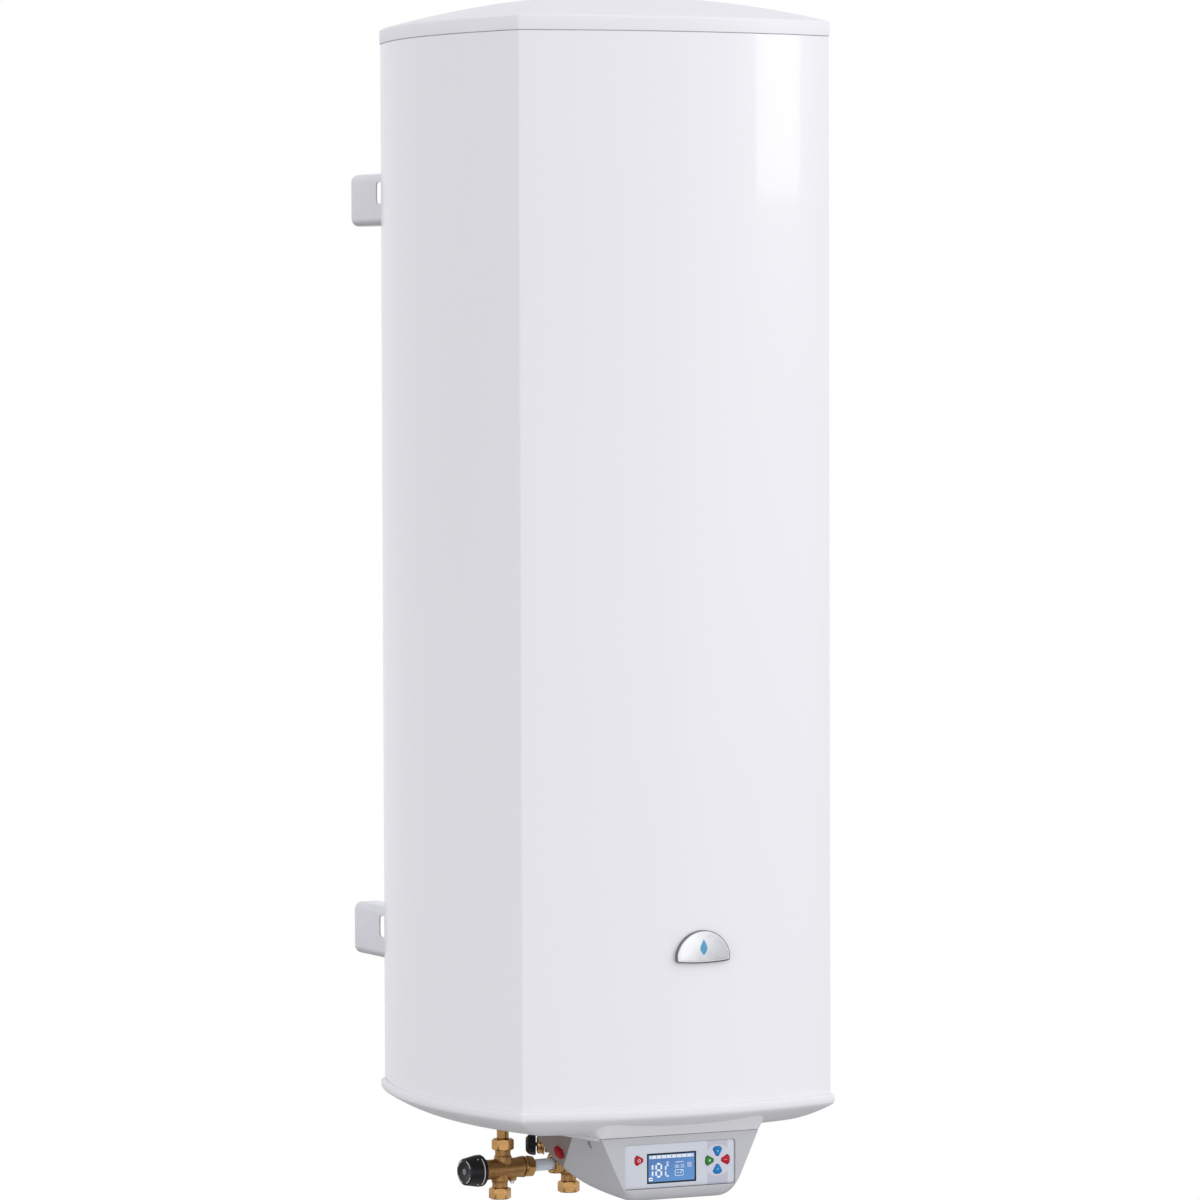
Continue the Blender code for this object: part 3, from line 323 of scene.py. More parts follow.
MAGNESIUM = finish("magnesium", (0.42, 0.42, 0.41), 0.62, (90.0, 0.18), (600.0, 12e-5),
                   cellular=True, metallic=1.0)
CAP_GREY = finish("knob_cap_grey", (0.17, 0.17, 0.18), 0.40, (300.0, 0.15), (1500.0, 2e-5))
PIPE_WHITE = finish("pipe_plastic", (0.74, 0.77, 0.83), 0.28, (60.0, 0.03), (500.0, 4e-5),
                    stretch=(1, 1, 0.1), subsurface_weight=0.35, subsurface_scale=0.004)
MACHINED = finish("brass_machined", (0.500, 0.285, 0.105), 0.23, (120.0, 0.16), (900.0, 3e-5),
                  0.08, stretch=(0.15, 0.15, 2.5), metallic=1.0)
LCD_BLACK = finish("display_surround", (0.006, 0.007, 0.009), 0.30, (80.0, 0.2), (600.0, 1e-5),
                   specular_ior_level=0.2)
GLYPH = finish("display_glyphs", (0.80, 0.88, 0.95), 0.35, (300.0, 0.04), (900.0, 1e-5))
BUTTON_RED, BUTTON_BLUE, BUTTON_GREEN = (
    finish("button_" + name, colour, 0.34, (160.0, 0.06), (1800.0, 2e-5),
           specular_ior_level=0.25)
    for name, colour in (("red", (0.480, 0.002, 0.018)), ("blue", (0.000, 0.190, 0.500)),
                         ("green", (0.012, 0.200, 0.012))))
RED_CAP = finish("marker_red", (0.330, 0.002, 0.010), 0.32, (70.0, 0.10), (900.0, 3e-5),
                 specular_ior_level=0.3)
BADGE_EDGE = finish("badge_edge", (0.20, 0.20, 0.21), 0.30, (90.0, 0.15), (800.0, 1e-5),
                    metallic=1.0)
BADGE_LINE = finish("badge_line", (0.80, 0.80, 0.80), 0.35, (200.0, 0.05), (900.0, 1e-5))
BADGE_DROP = finish("badge_drop", (0.035, 0.300, 0.500), 0.28, (150.0, 0.15), (900.0, 1e-5),
                    coat_weight=0.5)


def cast_brass():
    """Sand-cast brass: rough skin, darker in its hollows, with small pits."""
    nodes = material_nodes("brass_cast")
    skin = nodes.noise(700.0, 5.0, roughness=0.65)
    height = nodes.maths("ADD", skin, nodes.maths("MULTIPLY", nodes.cells(900.0), 0.5))
    colours = nodes.blend(nodes.spread(skin, 0.32, 0.66, 0, 1), (0.290, 0.150, 0.052),
                          (0.500, 0.285, 0.110))
    return nodes.shade(height, 22e-5, metallic=1.0, base_color=colours,
                       roughness=nodes.spread(skin, 0.3, 0.7, 0.52, 0.34))


def panel_foil():
    """Printed foil: silver, with a darker band and a pale disc behind the buttons."""
    nodes = material_nodes("panel_foil")
    parts = nodes.parts()
    across = nodes.maths("SUBTRACT", parts["X"], BUTTONS_AT[0])
    up = nodes.maths("SUBTRACT", parts["Z"], BUTTONS_AT[1] - PANEL_Z)
    in_band = nodes.maths("LESS_THAN", nodes.maths("ABSOLUTE", across), BAND_HALF)
    across, up = (nodes.maths("MULTIPLY", part, part) for part in (across, up))
    in_disc = nodes.maths("LESS_THAN", nodes.maths("SQRT", nodes.maths("ADD", across, up)),
                          DISC_R)
    satin = nodes.noise(900.0, stretch=(1, 1, 0.2))
    silver, band, disc = (nodes.blend(satin, *pair) for pair in (
        ((0.560, 0.592, 0.640), (0.610, 0.640, 0.690)),
        ((0.450, 0.470, 0.540), (0.500, 0.515, 0.585)),
        ((0.560, 0.570, 0.650), (0.600, 0.610, 0.690))))
    return nodes.shade(satin, 1e-5, metallic=0.15, coat_weight=0.15, coat_roughness=0.2,
                       base_color=nodes.blend(in_disc, nodes.blend(in_band, silver, band), disc),
                       roughness=nodes.spread(satin, 0.3, 0.7, 0.34, 0.46))


def display_blue():
    """A lit blue display: brighter towards its lower right, faintly scored by its pixels."""
    nodes = material_nodes("display_blue")
    parts = nodes.parts()
    slope = nodes.maths("SUBTRACT", nodes.maths("MULTIPLY", parts["X"], 0.5), parts["Z"])
    slope = nodes.maths("ADD", slope, nodes.maths("MULTIPLY", nodes.noise(60.0), 0.01))
    colours = nodes.blend(nodes.spread(slope, -0.025, 0.035, 0, 1), (0.022, 0.140, 0.400),
                          (0.050, 0.225, 0.520))
    pixels = nodes.add("TexBrick", {"Vector": nodes.coords, "Scale": 1400.0}, "Fac")
    return nodes.shade(pixels, 4e-6, roughness=0.30, coat_weight=0.6, coat_roughness=0.08,
                       emission_strength=0.10, base_color=colours, emission_color=colours)


def circuit_board():
    """Solder mask over copper tracks."""
    nodes = material_nodes("circuit_board")
    turned = nodes.add("Mapping", {"Vector": nodes.coords, "Rotation": (pi / 2, 0, 0)})
    tracks = nodes.add("TexBrick", {"Vector": turned, "Scale": 160.0, "Mortar Size": 0.06},
                       "Fac")
    return nodes.shade(tracks, 4e-5, roughness=nodes.spread(nodes.noise(120.0), 0.3, 0.7,
                                                            0.30, 0.45),
                       base_color=nodes.blend(tracks, (0.010, 0.110, 0.040),
                                              (0.040, 0.230, 0.070)))


def badge_silver():
    """Domed silver resin: bright in the middle, darker towards its lower corners."""
    nodes = material_nodes("badge_silver")
    flow = nodes.maths("ADD", nodes.maths("MULTIPLY", nodes.parts()["X"], 0.35),
                       nodes.maths("MULTIPLY", nodes.noise(25.0), 0.02))
    share = nodes.spread(nodes.maths("ABSOLUTE", flow), 0.0, 0.022, 0, 1)
    flakes = nodes.noise(2500.0)
    return nodes.shade(flakes, 1e-5, metallic=0.75, coat_weight=0.7, coat_roughness=0.06,
                       base_color=nodes.blend(share, (0.76, 0.77, 0.78), (0.42, 0.42, 0.44)),
                       roughness=nodes.spread(flakes, 0.3, 0.7, 0.24, 0.36))


CAST = cast_brass()
FOIL = panel_foil()
DISPLAY = display_blue()
BOARD = circuit_board()
BADGE_SILVER = badge_silver()

# ---------------------------------------------------------------- mesh tools

def loft(rings, wrap=False, caps=()):
    """Skin rings of points; a ring of one point closes to a pole. caps lists rings to fill."""
    bm = bmesh.new()
    rows = [[bm.verts.new(point) for point in ring] for ring in rings]
    pairs = list(zip(rows, rows[1:]))
    if wrap:
        pairs.append((rows[-1], rows[0]))
    for near, far in pairs:
        count = max(len(near), len(far))
        for i in range(count):
            corners = []
            for row, step in ((near, i), (near, i + 1), (far, i + 1), (far, i)):
                vert = row[step % len(row)]
                if vert not in corners:
                    corners.append(vert)
            bm.faces.new(corners)
    for index in caps:
        bm.faces.new(rows[index])
    bmesh.ops.recalc_face_normals(bm, faces=bm.faces)
    return bm


def circle(radius, z, steps=ROUND):
    if radius == 0:
        return [(0, 0, z)]
    return [(radius * cos(2 * pi * i / steps), radius * sin(2 * pi * i / steps), z)
            for i in range(steps)]


def rounded(points, radius, steps=3, closed=False):
    """Round the corners of a flat line of points by a radius, or as much as fits."""
    made = []
    last = len(points) - 1
    for i, point in enumerate(points):
        if not closed and i in (0, last):
            made.append(point)
            continue
        before, here, after = (Vector(points[i - 1]), Vector(point),
                               Vector(points[(i + 1) % len(points)]))
        inward, onward = here - before, after - here
        turn = inward.angle(onward, 0.0)
        if turn < radians(8):
            made.append(point)
            continue
        trim = min(radius * tan(turn / 2), inward.length * 0.45, onward.length * 0.45)
        start = here - inward.normalized() * trim
        end = here + onward.normalized() * trim
        for step in range(steps + 1):
            share = step / steps
            made.append(tuple(start * (1 - share) ** 2 + here * (2 * share * (1 - share))
                              + end * share ** 2))
    return made


def lathe(profile, edge=0.0, steps=ROUND, closed=False):
    """Turn a profile of (radius, height) points about Z, its edges eased by a radius."""
    if edge:
        profile = rounded(profile, edge, closed=closed)
    return loft([circle(radius, z, steps) for radius, z in profile], wrap=closed)


def tube(outer, inner, low, high, edge=0.0004):
    return lathe([(outer, high), (outer, low), (inner, low), (inner, high)], edge, closed=True)


def inset(outline, distance):
    """Move a closed flat outline inwards by a distance; it runs anticlockwise."""
    made = []
    count = len(outline)
    for i in range(count):
        before, here, after = (Vector(outline[i - 1]), Vector(outline[i]),
                               Vector(outline[(i + 1) % count]))
        one, two = (here - before).normalized(), (after - here).normalized()
        normal = (Vector((-one.y, one.x)) + Vector((-two.y, two.x))).normalized()
        across = max(0.5, normal.dot(Vector((-one.y, one.x))))
        made.append(tuple(here + normal * (distance / across)))
    return made


def slab(outline, depth, edge=0.0, crown=0.0, steps=3):
    """A flat XZ outline given depth along +Y; its front edge is eased and its front crowned."""
    rings = []
    rim = inset(outline, edge)
    if crown:
        centre = sum((Vector(point) for point in rim), Vector((0, 0))) / len(rim)
        rings.append([(centre.x, -crown, centre.y)])
        for share in (0.3, 0.6, 0.85):
            rings.append([(centre.x + (x - centre.x) * share, -crown * (1 - share ** 2),
                           centre.y + (z - centre.y) * share) for x, z in rim])
    for step in range(steps + 1 if edge else 1):
        angle = pi / 2 * step / steps
        rings.append([(x, edge * (1 - cos(angle)), z)
                      for x, z in inset(outline, edge * (1 - sin(angle)))])
    rings.append([(x, depth, z) for x, z in outline])
    return loft(rings, caps=(-1,) if crown else (0, -1))


def rectangle(width, height):
    return [(-width / 2, -height / 2), (width / 2, -height / 2),
            (width / 2, height / 2), (-width / 2, height / 2)]


def rounded_rectangle(width, height, radius, steps=4):
    return rounded(rectangle(width, height), radius, steps, closed=True)


def ribbon(points, width, normal_of, thickness=INK):
    """A thin printed line: points along its middle, laid on the surface under it."""
    left, right = [], []
    for i, point in enumerate(points):
        here = Vector(point)
        along = Vector(points[min(i + 1, len(points) - 1)]) - Vector(points[max(i - 1, 0)])
        normal = normal_of(here)
        across = along.cross(normal).normalized() * width / 2
        left.append((here - across, here - across + normal * thickness))
        right.append((here + across, here + across + normal * thickness))
    rings = [(low, high, high_far, low_far)
             for (low, high), (low_far, high_far) in zip(left, right)]
    return loft(rings, caps=(0, -1))


def join(*meshes):
    """Several bmeshes as one."""
    whole = bmesh.new()
    for bm in meshes:
        mesh = bpy.data.meshes.new("part")
        bm.to_mesh(mesh)
        bm.free()
        whole.from_mesh(mesh)
        bpy.data.meshes.remove(mesh)
    return whole


def moved(bm, matrix):
    bm.transform(matrix)
    return bm


# ---------------------------------------------------------------- making pieces

def link_object(name, data, place):
    made = bpy.data.objects.new(name, data)
    bpy.context.scene.collection.objects.link(made)
    made.matrix_world = place
    return made


def smooth(mesh, angle):
    mesh.shade_smooth()
    mesh.set_sharp_from_angle(angle=radians(angle))
    return mesh


def add_object(name, bm, place, angle=35):
    mesh = bpy.data.meshes.new(name)
    bm.to_mesh(mesh)
    bm.free()
    return link_object(name, smooth(mesh, angle), place)


def modify(made, kind, **settings):
    added = made.modifiers.new(kind.lower(), kind)
    for key, value in settings.items():
        setattr(added, key, value)


def settle(made, angle=35):
    """Apply a piece's modifiers, so that later ones start from a plain mesh."""
    depsgraph = bpy.context.evaluated_depsgraph_get()
    mesh = bpy.data.meshes.new_from_object(made.evaluated_get(depsgraph))
    made.modifiers.clear()
    made.data = smooth(mesh, angle)


def shell(name, bm, thickness, angle, even=False):
    """A skin of the casing or the console, given its wall inwards."""
    made = add_object(name, bm, CASING, angle)
    modify(made, "SOLIDIFY", thickness=thickness, offset=-1, use_even_offset=even)
    settle(made, angle)
    return made


def cut(made, *tools, angle=35):
    """Cut tools, each a bmesh with its place, out of a piece."""
    for bm, place in tools:
        tool = add_object("tool", bm, place)
        modify(made, "BOOLEAN", object=tool, operation="DIFFERENCE", solver="EXACT",
               use_self=True)
        settle(made, angle)
        bpy.data.objects.remove(tool)


def ease(made, width, angle):
    modify(made, "BEVEL", width=width, segments=2, limit_method="ANGLE",
           angle_limit=radians(angle), harden_normals=True)


def show(made, material, body="heater", replaces=()):
    """Give a piece its material and its body, and hide the CAD nodes it stands for."""
    made.data.materials.clear()
    made.data.materials.append(material)
    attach(made, body)
    if replaces:
        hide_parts(*replaces)
    return made


def piece(name, bm, material, place=CASING, body="heater", replaces=(), angle=35):
    return show(add_object(name, bm, place, angle), material, body, replaces)


def brass_piece(name, bm, place, replaces=(), body="heater"):
    return piece(name, bm, MACHINED, place, body, replaces)


# ---------------------------------------------------------------- casing

def bow(half_chord, rise, share):
    """Point of a shallow arc: share runs from -1 to 1 along its chord."""
    radius = (half_chord ** 2 + rise ** 2) / (2 * rise)
    angle = share * asin(half_chord / radius)
    return radius * sin(angle), radius * cos(angle) - (radius - rise)


def bend(start, knee, end, share):
    """Point of a curve from start to end that bends towards a knee."""
    return start * (1 - share) ** 2 + knee * 2 * share * (1 - share) + end * share ** 2


def bowed_outline(grow=0.0):
    """The casing's section: four bowed faces that meet at small round corners."""
    half_w = WIDTH / 2 + grow
    half_d = DEPTH / 2 + grow
    faces = ((half_w, half_d, BOW_FRONT, -pi / 2), (half_d, half_w, BOW_SIDE, 0.0),
             (half_w, half_d, BOW_BACK, pi / 2), (half_d, half_w, BOW_SIDE, pi))
    sides = []
    for half_chord, distance, rise, facing in faces:
        trim = CORNER_R * 0.5 / half_chord
        side = []
        for step in range(ARC_STEPS + 1):
            along, out = bow(half_chord, rise, (2 * step / ARC_STEPS - 1) * (1 - trim))
            out += distance
            side.append(Vector((out * cos(facing) - along * sin(facing),
                                out * sin(facing) + along * cos(facing))))
        sides.append(side)
    points = []
    for i, side in enumerate(sides):
        following = sides[(i + 1) % 4]
        points += side
        start, end = side[-1], following[0]
        along_one = (side[-1] - side[-2]).normalized()
        along_two = (following[1] - following[0]).normalized()
        reach = (end - start).length / 2 / cos(along_one.angle(along_two) / 2)
        corner_point = (start + along_one * reach + end - along_two * reach) / 2
        for step in range(1, CORNER_STEPS):
            share = step / CORNER_STEPS
            points.append(bend(start, corner_point, end, share))
    return points


def outline_ring(grow, z, scale=1.0):
    return [(point.x * scale, point.y * scale, z) for point in bowed_outline(grow)]


def front_y(x):
    """How far forward the casing's front face is at x."""
    return -(DEPTH / 2 + bow(WIDTH / 2, BOW_FRONT, x / (WIDTH / 2))[1])


def make_jacket():
    jacket = shell("enamelled_jacket", loft([outline_ring(0, -HALF), outline_ring(0, HALF)]),
                   JACKET_T, 30, even=True)
    show(jacket, ENAMEL, replaces=("jacket",))

    back = DEPTH / 2 + BOW_BACK
    root, ridge = back - 0.0005, back + LOCK_SEAM_PROUD - BOW_BACK * 0.02
    half = LOCK_SEAM_W / 2
    fold = rounded([(-half, root), (-half + 0.001, ridge), (half - 0.001, ridge),
                    (half, root)], 0.0008)
    seam = loft([[(x, y, z) for x, y in fold] for z in (-HALF + 0.001, HALF - 0.001)],
                caps=(0, -1))
    piece("jacket_lock_seam", seam, ENAMEL)


def dome_rings(grow, base_z, depth, rim, sign, scales):
    rings = []
    for scale in scales:
        share = min(1.0, (1 - scale) / rim)
        rings.append(outline_ring(grow, base_z + sign * depth * (1 - (1 - share) ** 2), scale))
    return rings


def make_top_cap():
    base = HALF + GAP
    lip = 0.0008
    shoulder = base + TOP_SKIRT
    rings = [outline_ring(TOP_PROUD - lip, base), outline_ring(TOP_PROUD, base + lip),
             outline_ring(TOP_PROUD, shoulder - 0.0025),
             outline_ring(TOP_PROUD - 0.0003, shoulder - 0.0010),
             outline_ring(TOP_PROUD - 0.0012, shoulder + 0.0002)]
    scales = [1 - 0.012 - 0.78 * (step / 16) ** 1.2 for step in range(17)]
    rings += dome_rings(TOP_PROUD, shoulder, CROWN, 1.0, 1, scales)
    show(shell("moulded_top_cap", loft(rings, caps=(-1,)), CAP_T, 28), CAP,
         replaces=("top_cap",))


def make_bottom_cap():
    base = -HALF - GAP
    lip = 0.0012
    skirt = base - BOTTOM_SKIRT
    rings = [outline_ring(GAP, base + lip), outline_ring(GAP + lip, base + 0.6 * lip),
             outline_ring(BOTTOM_PROUD - 0.5 * lip, base - 0.2 * lip),
             outline_ring(BOTTOM_PROUD, base - lip * 1.4),
             outline_ring(BOTTOM_PROUD, skirt + 0.0020),
             outline_ring(BOTTOM_PROUD - 0.0004, skirt + 0.0006)]
    scales = [1 - 0.006 - 0.294 * step / 14 for step in range(15)]
    rings += dome_rings(BOTTOM_PROUD, skirt, DISH, DISH_RIM, -1, scales)
    cap = shell("moulded_bottom_cap", loft(rings, caps=(-1,)), CAP_T, 28)
    holes = ((middle("heater_flange"), SERVICE_HOLE_R), (hot, PIPE_R + GAP),
             (cold, PIPE_R + GAP), (middle("cable_gland"), GLAND_HOLE_R))
    cut(cap, *[(bore(radius, FLOOR_Z - 0.010, FLOOR_Z + 0.020, ROUND), at(spot.x, spot.y))
               for spot, radius in holes], angle=28)
    show(cap, CAP, replaces=("bottom_cap",))


def make_console_seat():
    """The boss under the cap's rim that the console's flat top bears on."""
    rings = []
    for share in (0.0, 0.05, 0.2, 0.4, 0.6, 0.8, 1.0):
        flare = SEAT_FLARE * share
        half = FACE_TOP_HALF + SEAT_MARGIN + flare
        front = FACE_Y - SEAT_MARGIN - flare
        outline = rounded([(-half, SEAT_REAR), (-half, front), (half, front),
                           (half, SEAT_REAR)], 0.005 + SEAT_CORNER * share, 8, closed=True)
        z = FLOOR_Z - CASING.translation.z - 0.0002 + SEAT_HEIGHT * share
        rings.append([(x, y, z) for x, y in outline])
    piece("console_seat", loft(rings, caps=(0, -1)), CAP, angle=50)


# ---------------------------------------------------------------- brackets

def bracket_pan(side):
    """The pan's outer skin: a web beside the casing and flanges turned inwards."""
    bm = bmesh.new()
    bmesh.ops.create_cube(bm, size=1.0)
    bmesh.ops.scale(bm, vec=(BRACKET_FLANGE, WALL_Y - PAN_FROM, BRACKET_SIZE_Z),
                    verts=bm.verts)
    bmesh.ops.translate(bm, vec=(side * (BRACKET_X - BRACKET_FLANGE / 2),
                                 (WALL_Y + PAN_FROM) / 2, 0), verts=bm.verts)
    opened = [f for f in bm.faces if f.normal.x * side < -0.5 or f.normal.y < -0.5]
    bmesh.ops.delete(bm, geom=opened, context="FACES")
    return bm


def make_bracket(node, side):
    place = CASING @ at(z=middle(node).z - CASING.translation.z)
    bracket = add_object(node.replace("bracket", "wall_bracket"), bracket_pan(side), place)
    modify(bracket, "BEVEL", width=BRACKET_BEND, segments=8, limit_method="ANGLE")
    modify(bracket, "SOLIDIFY", thickness=BRACKET_T, offset=-1, use_even_offset=True)
    settle(bracket)
    window_y = WALL_Y - WINDOW_FROM_WALL - WINDOW / 2
    window = slab(rounded_rectangle(WINDOW, WINDOW, 0.006), 0.040)
    slot = slab(rounded_rectangle(*BOLT_SLOT, BOLT_SLOT[0] * 0.48), 0.020)
    clearance = loft([outline_ring(GAP, -HALF), outline_ring(GAP, HALF)], caps=(0, -1))
    cut(bracket,
        (window, place @ at(side * (BRACKET_X - 0.020), window_y, WINDOW_UP)
         @ Matrix.Rotation(-pi / 2 * side, 4, "Z")),
        (slot, place @ at(side * BOLT_X, WALL_Y - 0.010)),
        (clearance, CASING))
    ease(bracket, 0.0005, 50)
    show(bracket, BRACKET, replaces=(node,))


# ---------------------------------------------------------------- service flange

def make_flange():
    """The plate under the casing, and bolts with hexagon heads and washers."""
    low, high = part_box("heater_flange")
    radius = (high.x - low.x) / 2
    centre = at((low.x + high.x) / 2, (low.y + high.y) / 2)
    bolts = [f"flange_bolt_{index}" for index in range(1, 5)]
    wells = [(middle(name), 0.0045) for name in bolts]
    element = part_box("heating_element")
    element_y = (element[0].y + element[1].y) / 2
    wells += [(Vector((x, element_y, 0)), 0.0043)
              for x in (element[0].x + 0.004, element[1].x - 0.004)]
    wells += [(middle("thermostat_pocket"), 0.0063), (middle("anode_rod"), 0.0043)]
    plate = add_object("service_flange", rod(radius, low.z, high.z, steps=ROUND), centre)
    cut(plate, *[(bore(well, low.z - 0.004, high.z + 0.004, 24), at(point.x, point.y))
                 for point, well in wells])
    show(plate, ZINC, replaces=("heater_flange",))
    for name in bolts:
        low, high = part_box(name)
        head = low.z + 0.0055
        shank = [(0.0, high.z), (0.0034, high.z), (0.004, high.z - 0.0008), (0.004, head),
                 (0.0065, head), (0.0065, head - 0.0010), (0.0, head - 0.0010)]
        bolt = join(lathe(shank, 0.0002, 32),
                    hexagon(0.0110, low.z, head - 0.0010, 0.0008))
        place = at((low.x + high.x) / 2, (low.y + high.y) / 2)
        piece(name.replace("flange", "hex_flange"), bolt, ZINC, place,
              replaces=(name,))


# ---------------------------------------------------------------- plumbing

def hexagon_ring(across, z, limit, steps=96):
    """A ring that is a hexagon, cut back to a circle where that is smaller."""
    ring = []
    for i in range(steps):
        angle = 2 * pi * i / steps
        flat = across / 2 / cos((angle + pi / 6) % (pi / 3) - pi / 6)
        radius = min(flat, limit)
        ring.append((radius * cos(angle), radius * sin(angle), z))
    return ring


def hexagon_sides(across, low, high, chamfer):
    """Rings up a hexagonal body whose two ends are chamfered to a circle."""
    corner = across / 2 / cos(pi / 6)
    levels = [0.0, 0.15, 0.4, 0.7, 1.0]
    drop = chamfer / 0.55
    rings = [hexagon_ring(across, low + share * chamfer, corner - drop * (1 - share) ** 1.5)
             for share in levels]
    rings += [hexagon_ring(across, high - share * chamfer, corner - drop * (1 - share) ** 1.5)
              for share in reversed(levels)]
    return rings


def hexagon(across, low, high, chamfer):
    return loft(hexagon_sides(across, low, high, chamfer), caps=(0, -1))


def nut(low, high, steps=96):
    """A compression nut: chamfered hexagon, bored for its pipe and its port."""
    narrow = PIPE_R + GAP
    wide = NECK_R + GAP
    inner = [(narrow + 0.0010, high), (narrow, high - 0.0010), (narrow, low + NUT_RECESS),
             (wide, low + NUT_RECESS), (wide, low + 0.0006), (wide + 0.0006, low)]
    rings = hexagon_sides(NUT_AF, low, high, 0.0018)
    rings += [circle(radius, z, steps) for radius, z in [(narrow + 0.0034, high)] + inner]
    return loft(rings, wrap=True)


def make_nuts(*nuts):
    for name, low, high, place in nuts:
        brass_piece(name.replace("nut", "hex_nut"), nut(low, high), place, (name,))


def cast_body(name, solids):
    """Fuse overlapping solids into one casting with soft fillets."""
    body = add_object(name, join(*solids), VALVE)
    modify(body, "REMESH", mode="VOXEL", voxel_size=0.0007)
    modify(body, "SMOOTH", factor=0.5, iterations=9)
    settle(body)
    return body


def rod(radius, low, high, edge=0.0012, steps=48):
    return lathe([(0, high), (radius, high), (radius, low), (0, low)], edge, steps)


def bore(radius, low, high, steps=40):
    return rod(radius, low, high, 0.0, steps)


def make_mixing_valve():
    neck_end = NUT_BASE + NUT_RECESS - GAP
    barrel = moved(lathe([(0, BARREL_RIGHT), (BARREL_R - 0.0008, BARREL_RIGHT),
                          (BARREL_R, BARREL_RIGHT - 0.0015), (BARREL_R, BARREL_RIGHT - 0.004),
                          (BARREL_R - 0.0008, BARREL_RIGHT - 0.006),
                          (BARREL_R - 0.0006, BARREL_LEFT + 0.010),
                          (BARREL_R, BARREL_LEFT + 0.008), (BARREL_R, BARREL_LEFT),
                          (0, BARREL_LEFT)]), TO_RIGHT)
    collar = BARREL_R + 0.0030
    hot_neck = join(rod(NECK_R, 0, neck_end), rod(NECK_R + 0.0015, 0, collar))
    mixed_neck = moved(join(rod(NECK_R, 0, neck_end), rod(NECK_R + 0.0010, 0, collar)),
                       at(BOTTOM_PORT_X) @ DOWN)
    bridge_neck = moved(rod(NECK_R, 0, BARREL_RIGHT + 0.003 + NUT_RECESS - GAP), TO_RIGHT)
    boss = moved(rod(0.0056, 0, BARREL_R + 0.0028), at(BLEED_X) @ DOWN)
    body = cast_body("cast_mixing_body", [barrel, hot_neck, mixed_neck, bridge_neck, boss])
    cut(body, (bore(PIPE_R + GAP, 0.0175, 0.0400), VALVE @ at(BOTTOM_PORT_X) @ DOWN),
        (bore(0.0050, 0.0050, 0.0200), VALVE @ at(BOTTOM_PORT_X) @ DOWN),
        (bore(0.0085, -BARREL_LEFT - 0.024, -BARREL_LEFT + 0.010), VALVE @ TO_LEFT))
    show(body, CAST, replaces=("mixing_valve_body",))

    ring = lathe([(BARREL_R + 0.0004, 0.0026), (BARREL_R + 0.0004, 0.0004),
                  (NECK_R + GAP, 0.0004), (NECK_R + GAP, 0.0026)], 0.0005, closed=True)
    brass_piece("bridge_lock_ring", ring, VALVE @ at(BARREL_RIGHT) @ TO_RIGHT)

    gland = lathe([(0.0090, 0.0016), (0.0120, 0.0016), (0.0120, 0.0002), (0.0090, 0.0002)],
                  0.0003, closed=True)
    brass_piece("mixing_gland_ring", gland, VALVE @ at(BARREL_LEFT) @ TO_LEFT)

    top = NUT_BASE + NUT_H
    make_nuts(("mixing_top_nut", NUT_BASE, top, VALVE),
              ("mixing_bottom_nut", NUT_BASE, top, VALVE @ at(BOTTOM_PORT_X) @ DOWN),
              ("bridge_left_nut", BARREL_RIGHT + 0.003, BRIDGE_NUT_END, VALVE @ TO_RIGHT))

    bleed = join(lathe([(0, -0.0175), (0.0042, -0.0175), (0.0042, -0.0135), (0.0026, -0.0130),
                        (0.0022, -0.0100), (0, -0.0100)], 0.0005, 40),
                 hexagon(0.0042, -0.0200, -0.0174, 0.0004))
    piece("bleed_nipple", bleed, NICKEL, VALVE @ at(BLEED_X), replaces=("bleed_screw",))


def arc_on_cone(radius_at, height_from, height_to, angle_from, angle_to, steps=24):
    """Points of a line on a turned surface, between two heights and two angles in degrees."""
    points = []
    angle_from, angle_to = radians(angle_from), radians(angle_to)
    for step in range(steps + 1):
        share = step / steps
        angle = angle_from + (angle_to - angle_from) * share
        height = height_from + (height_to - height_from) * share
        radius = radius_at(height)
        points.append((radius * cos(angle), radius * sin(angle), height))
    return points


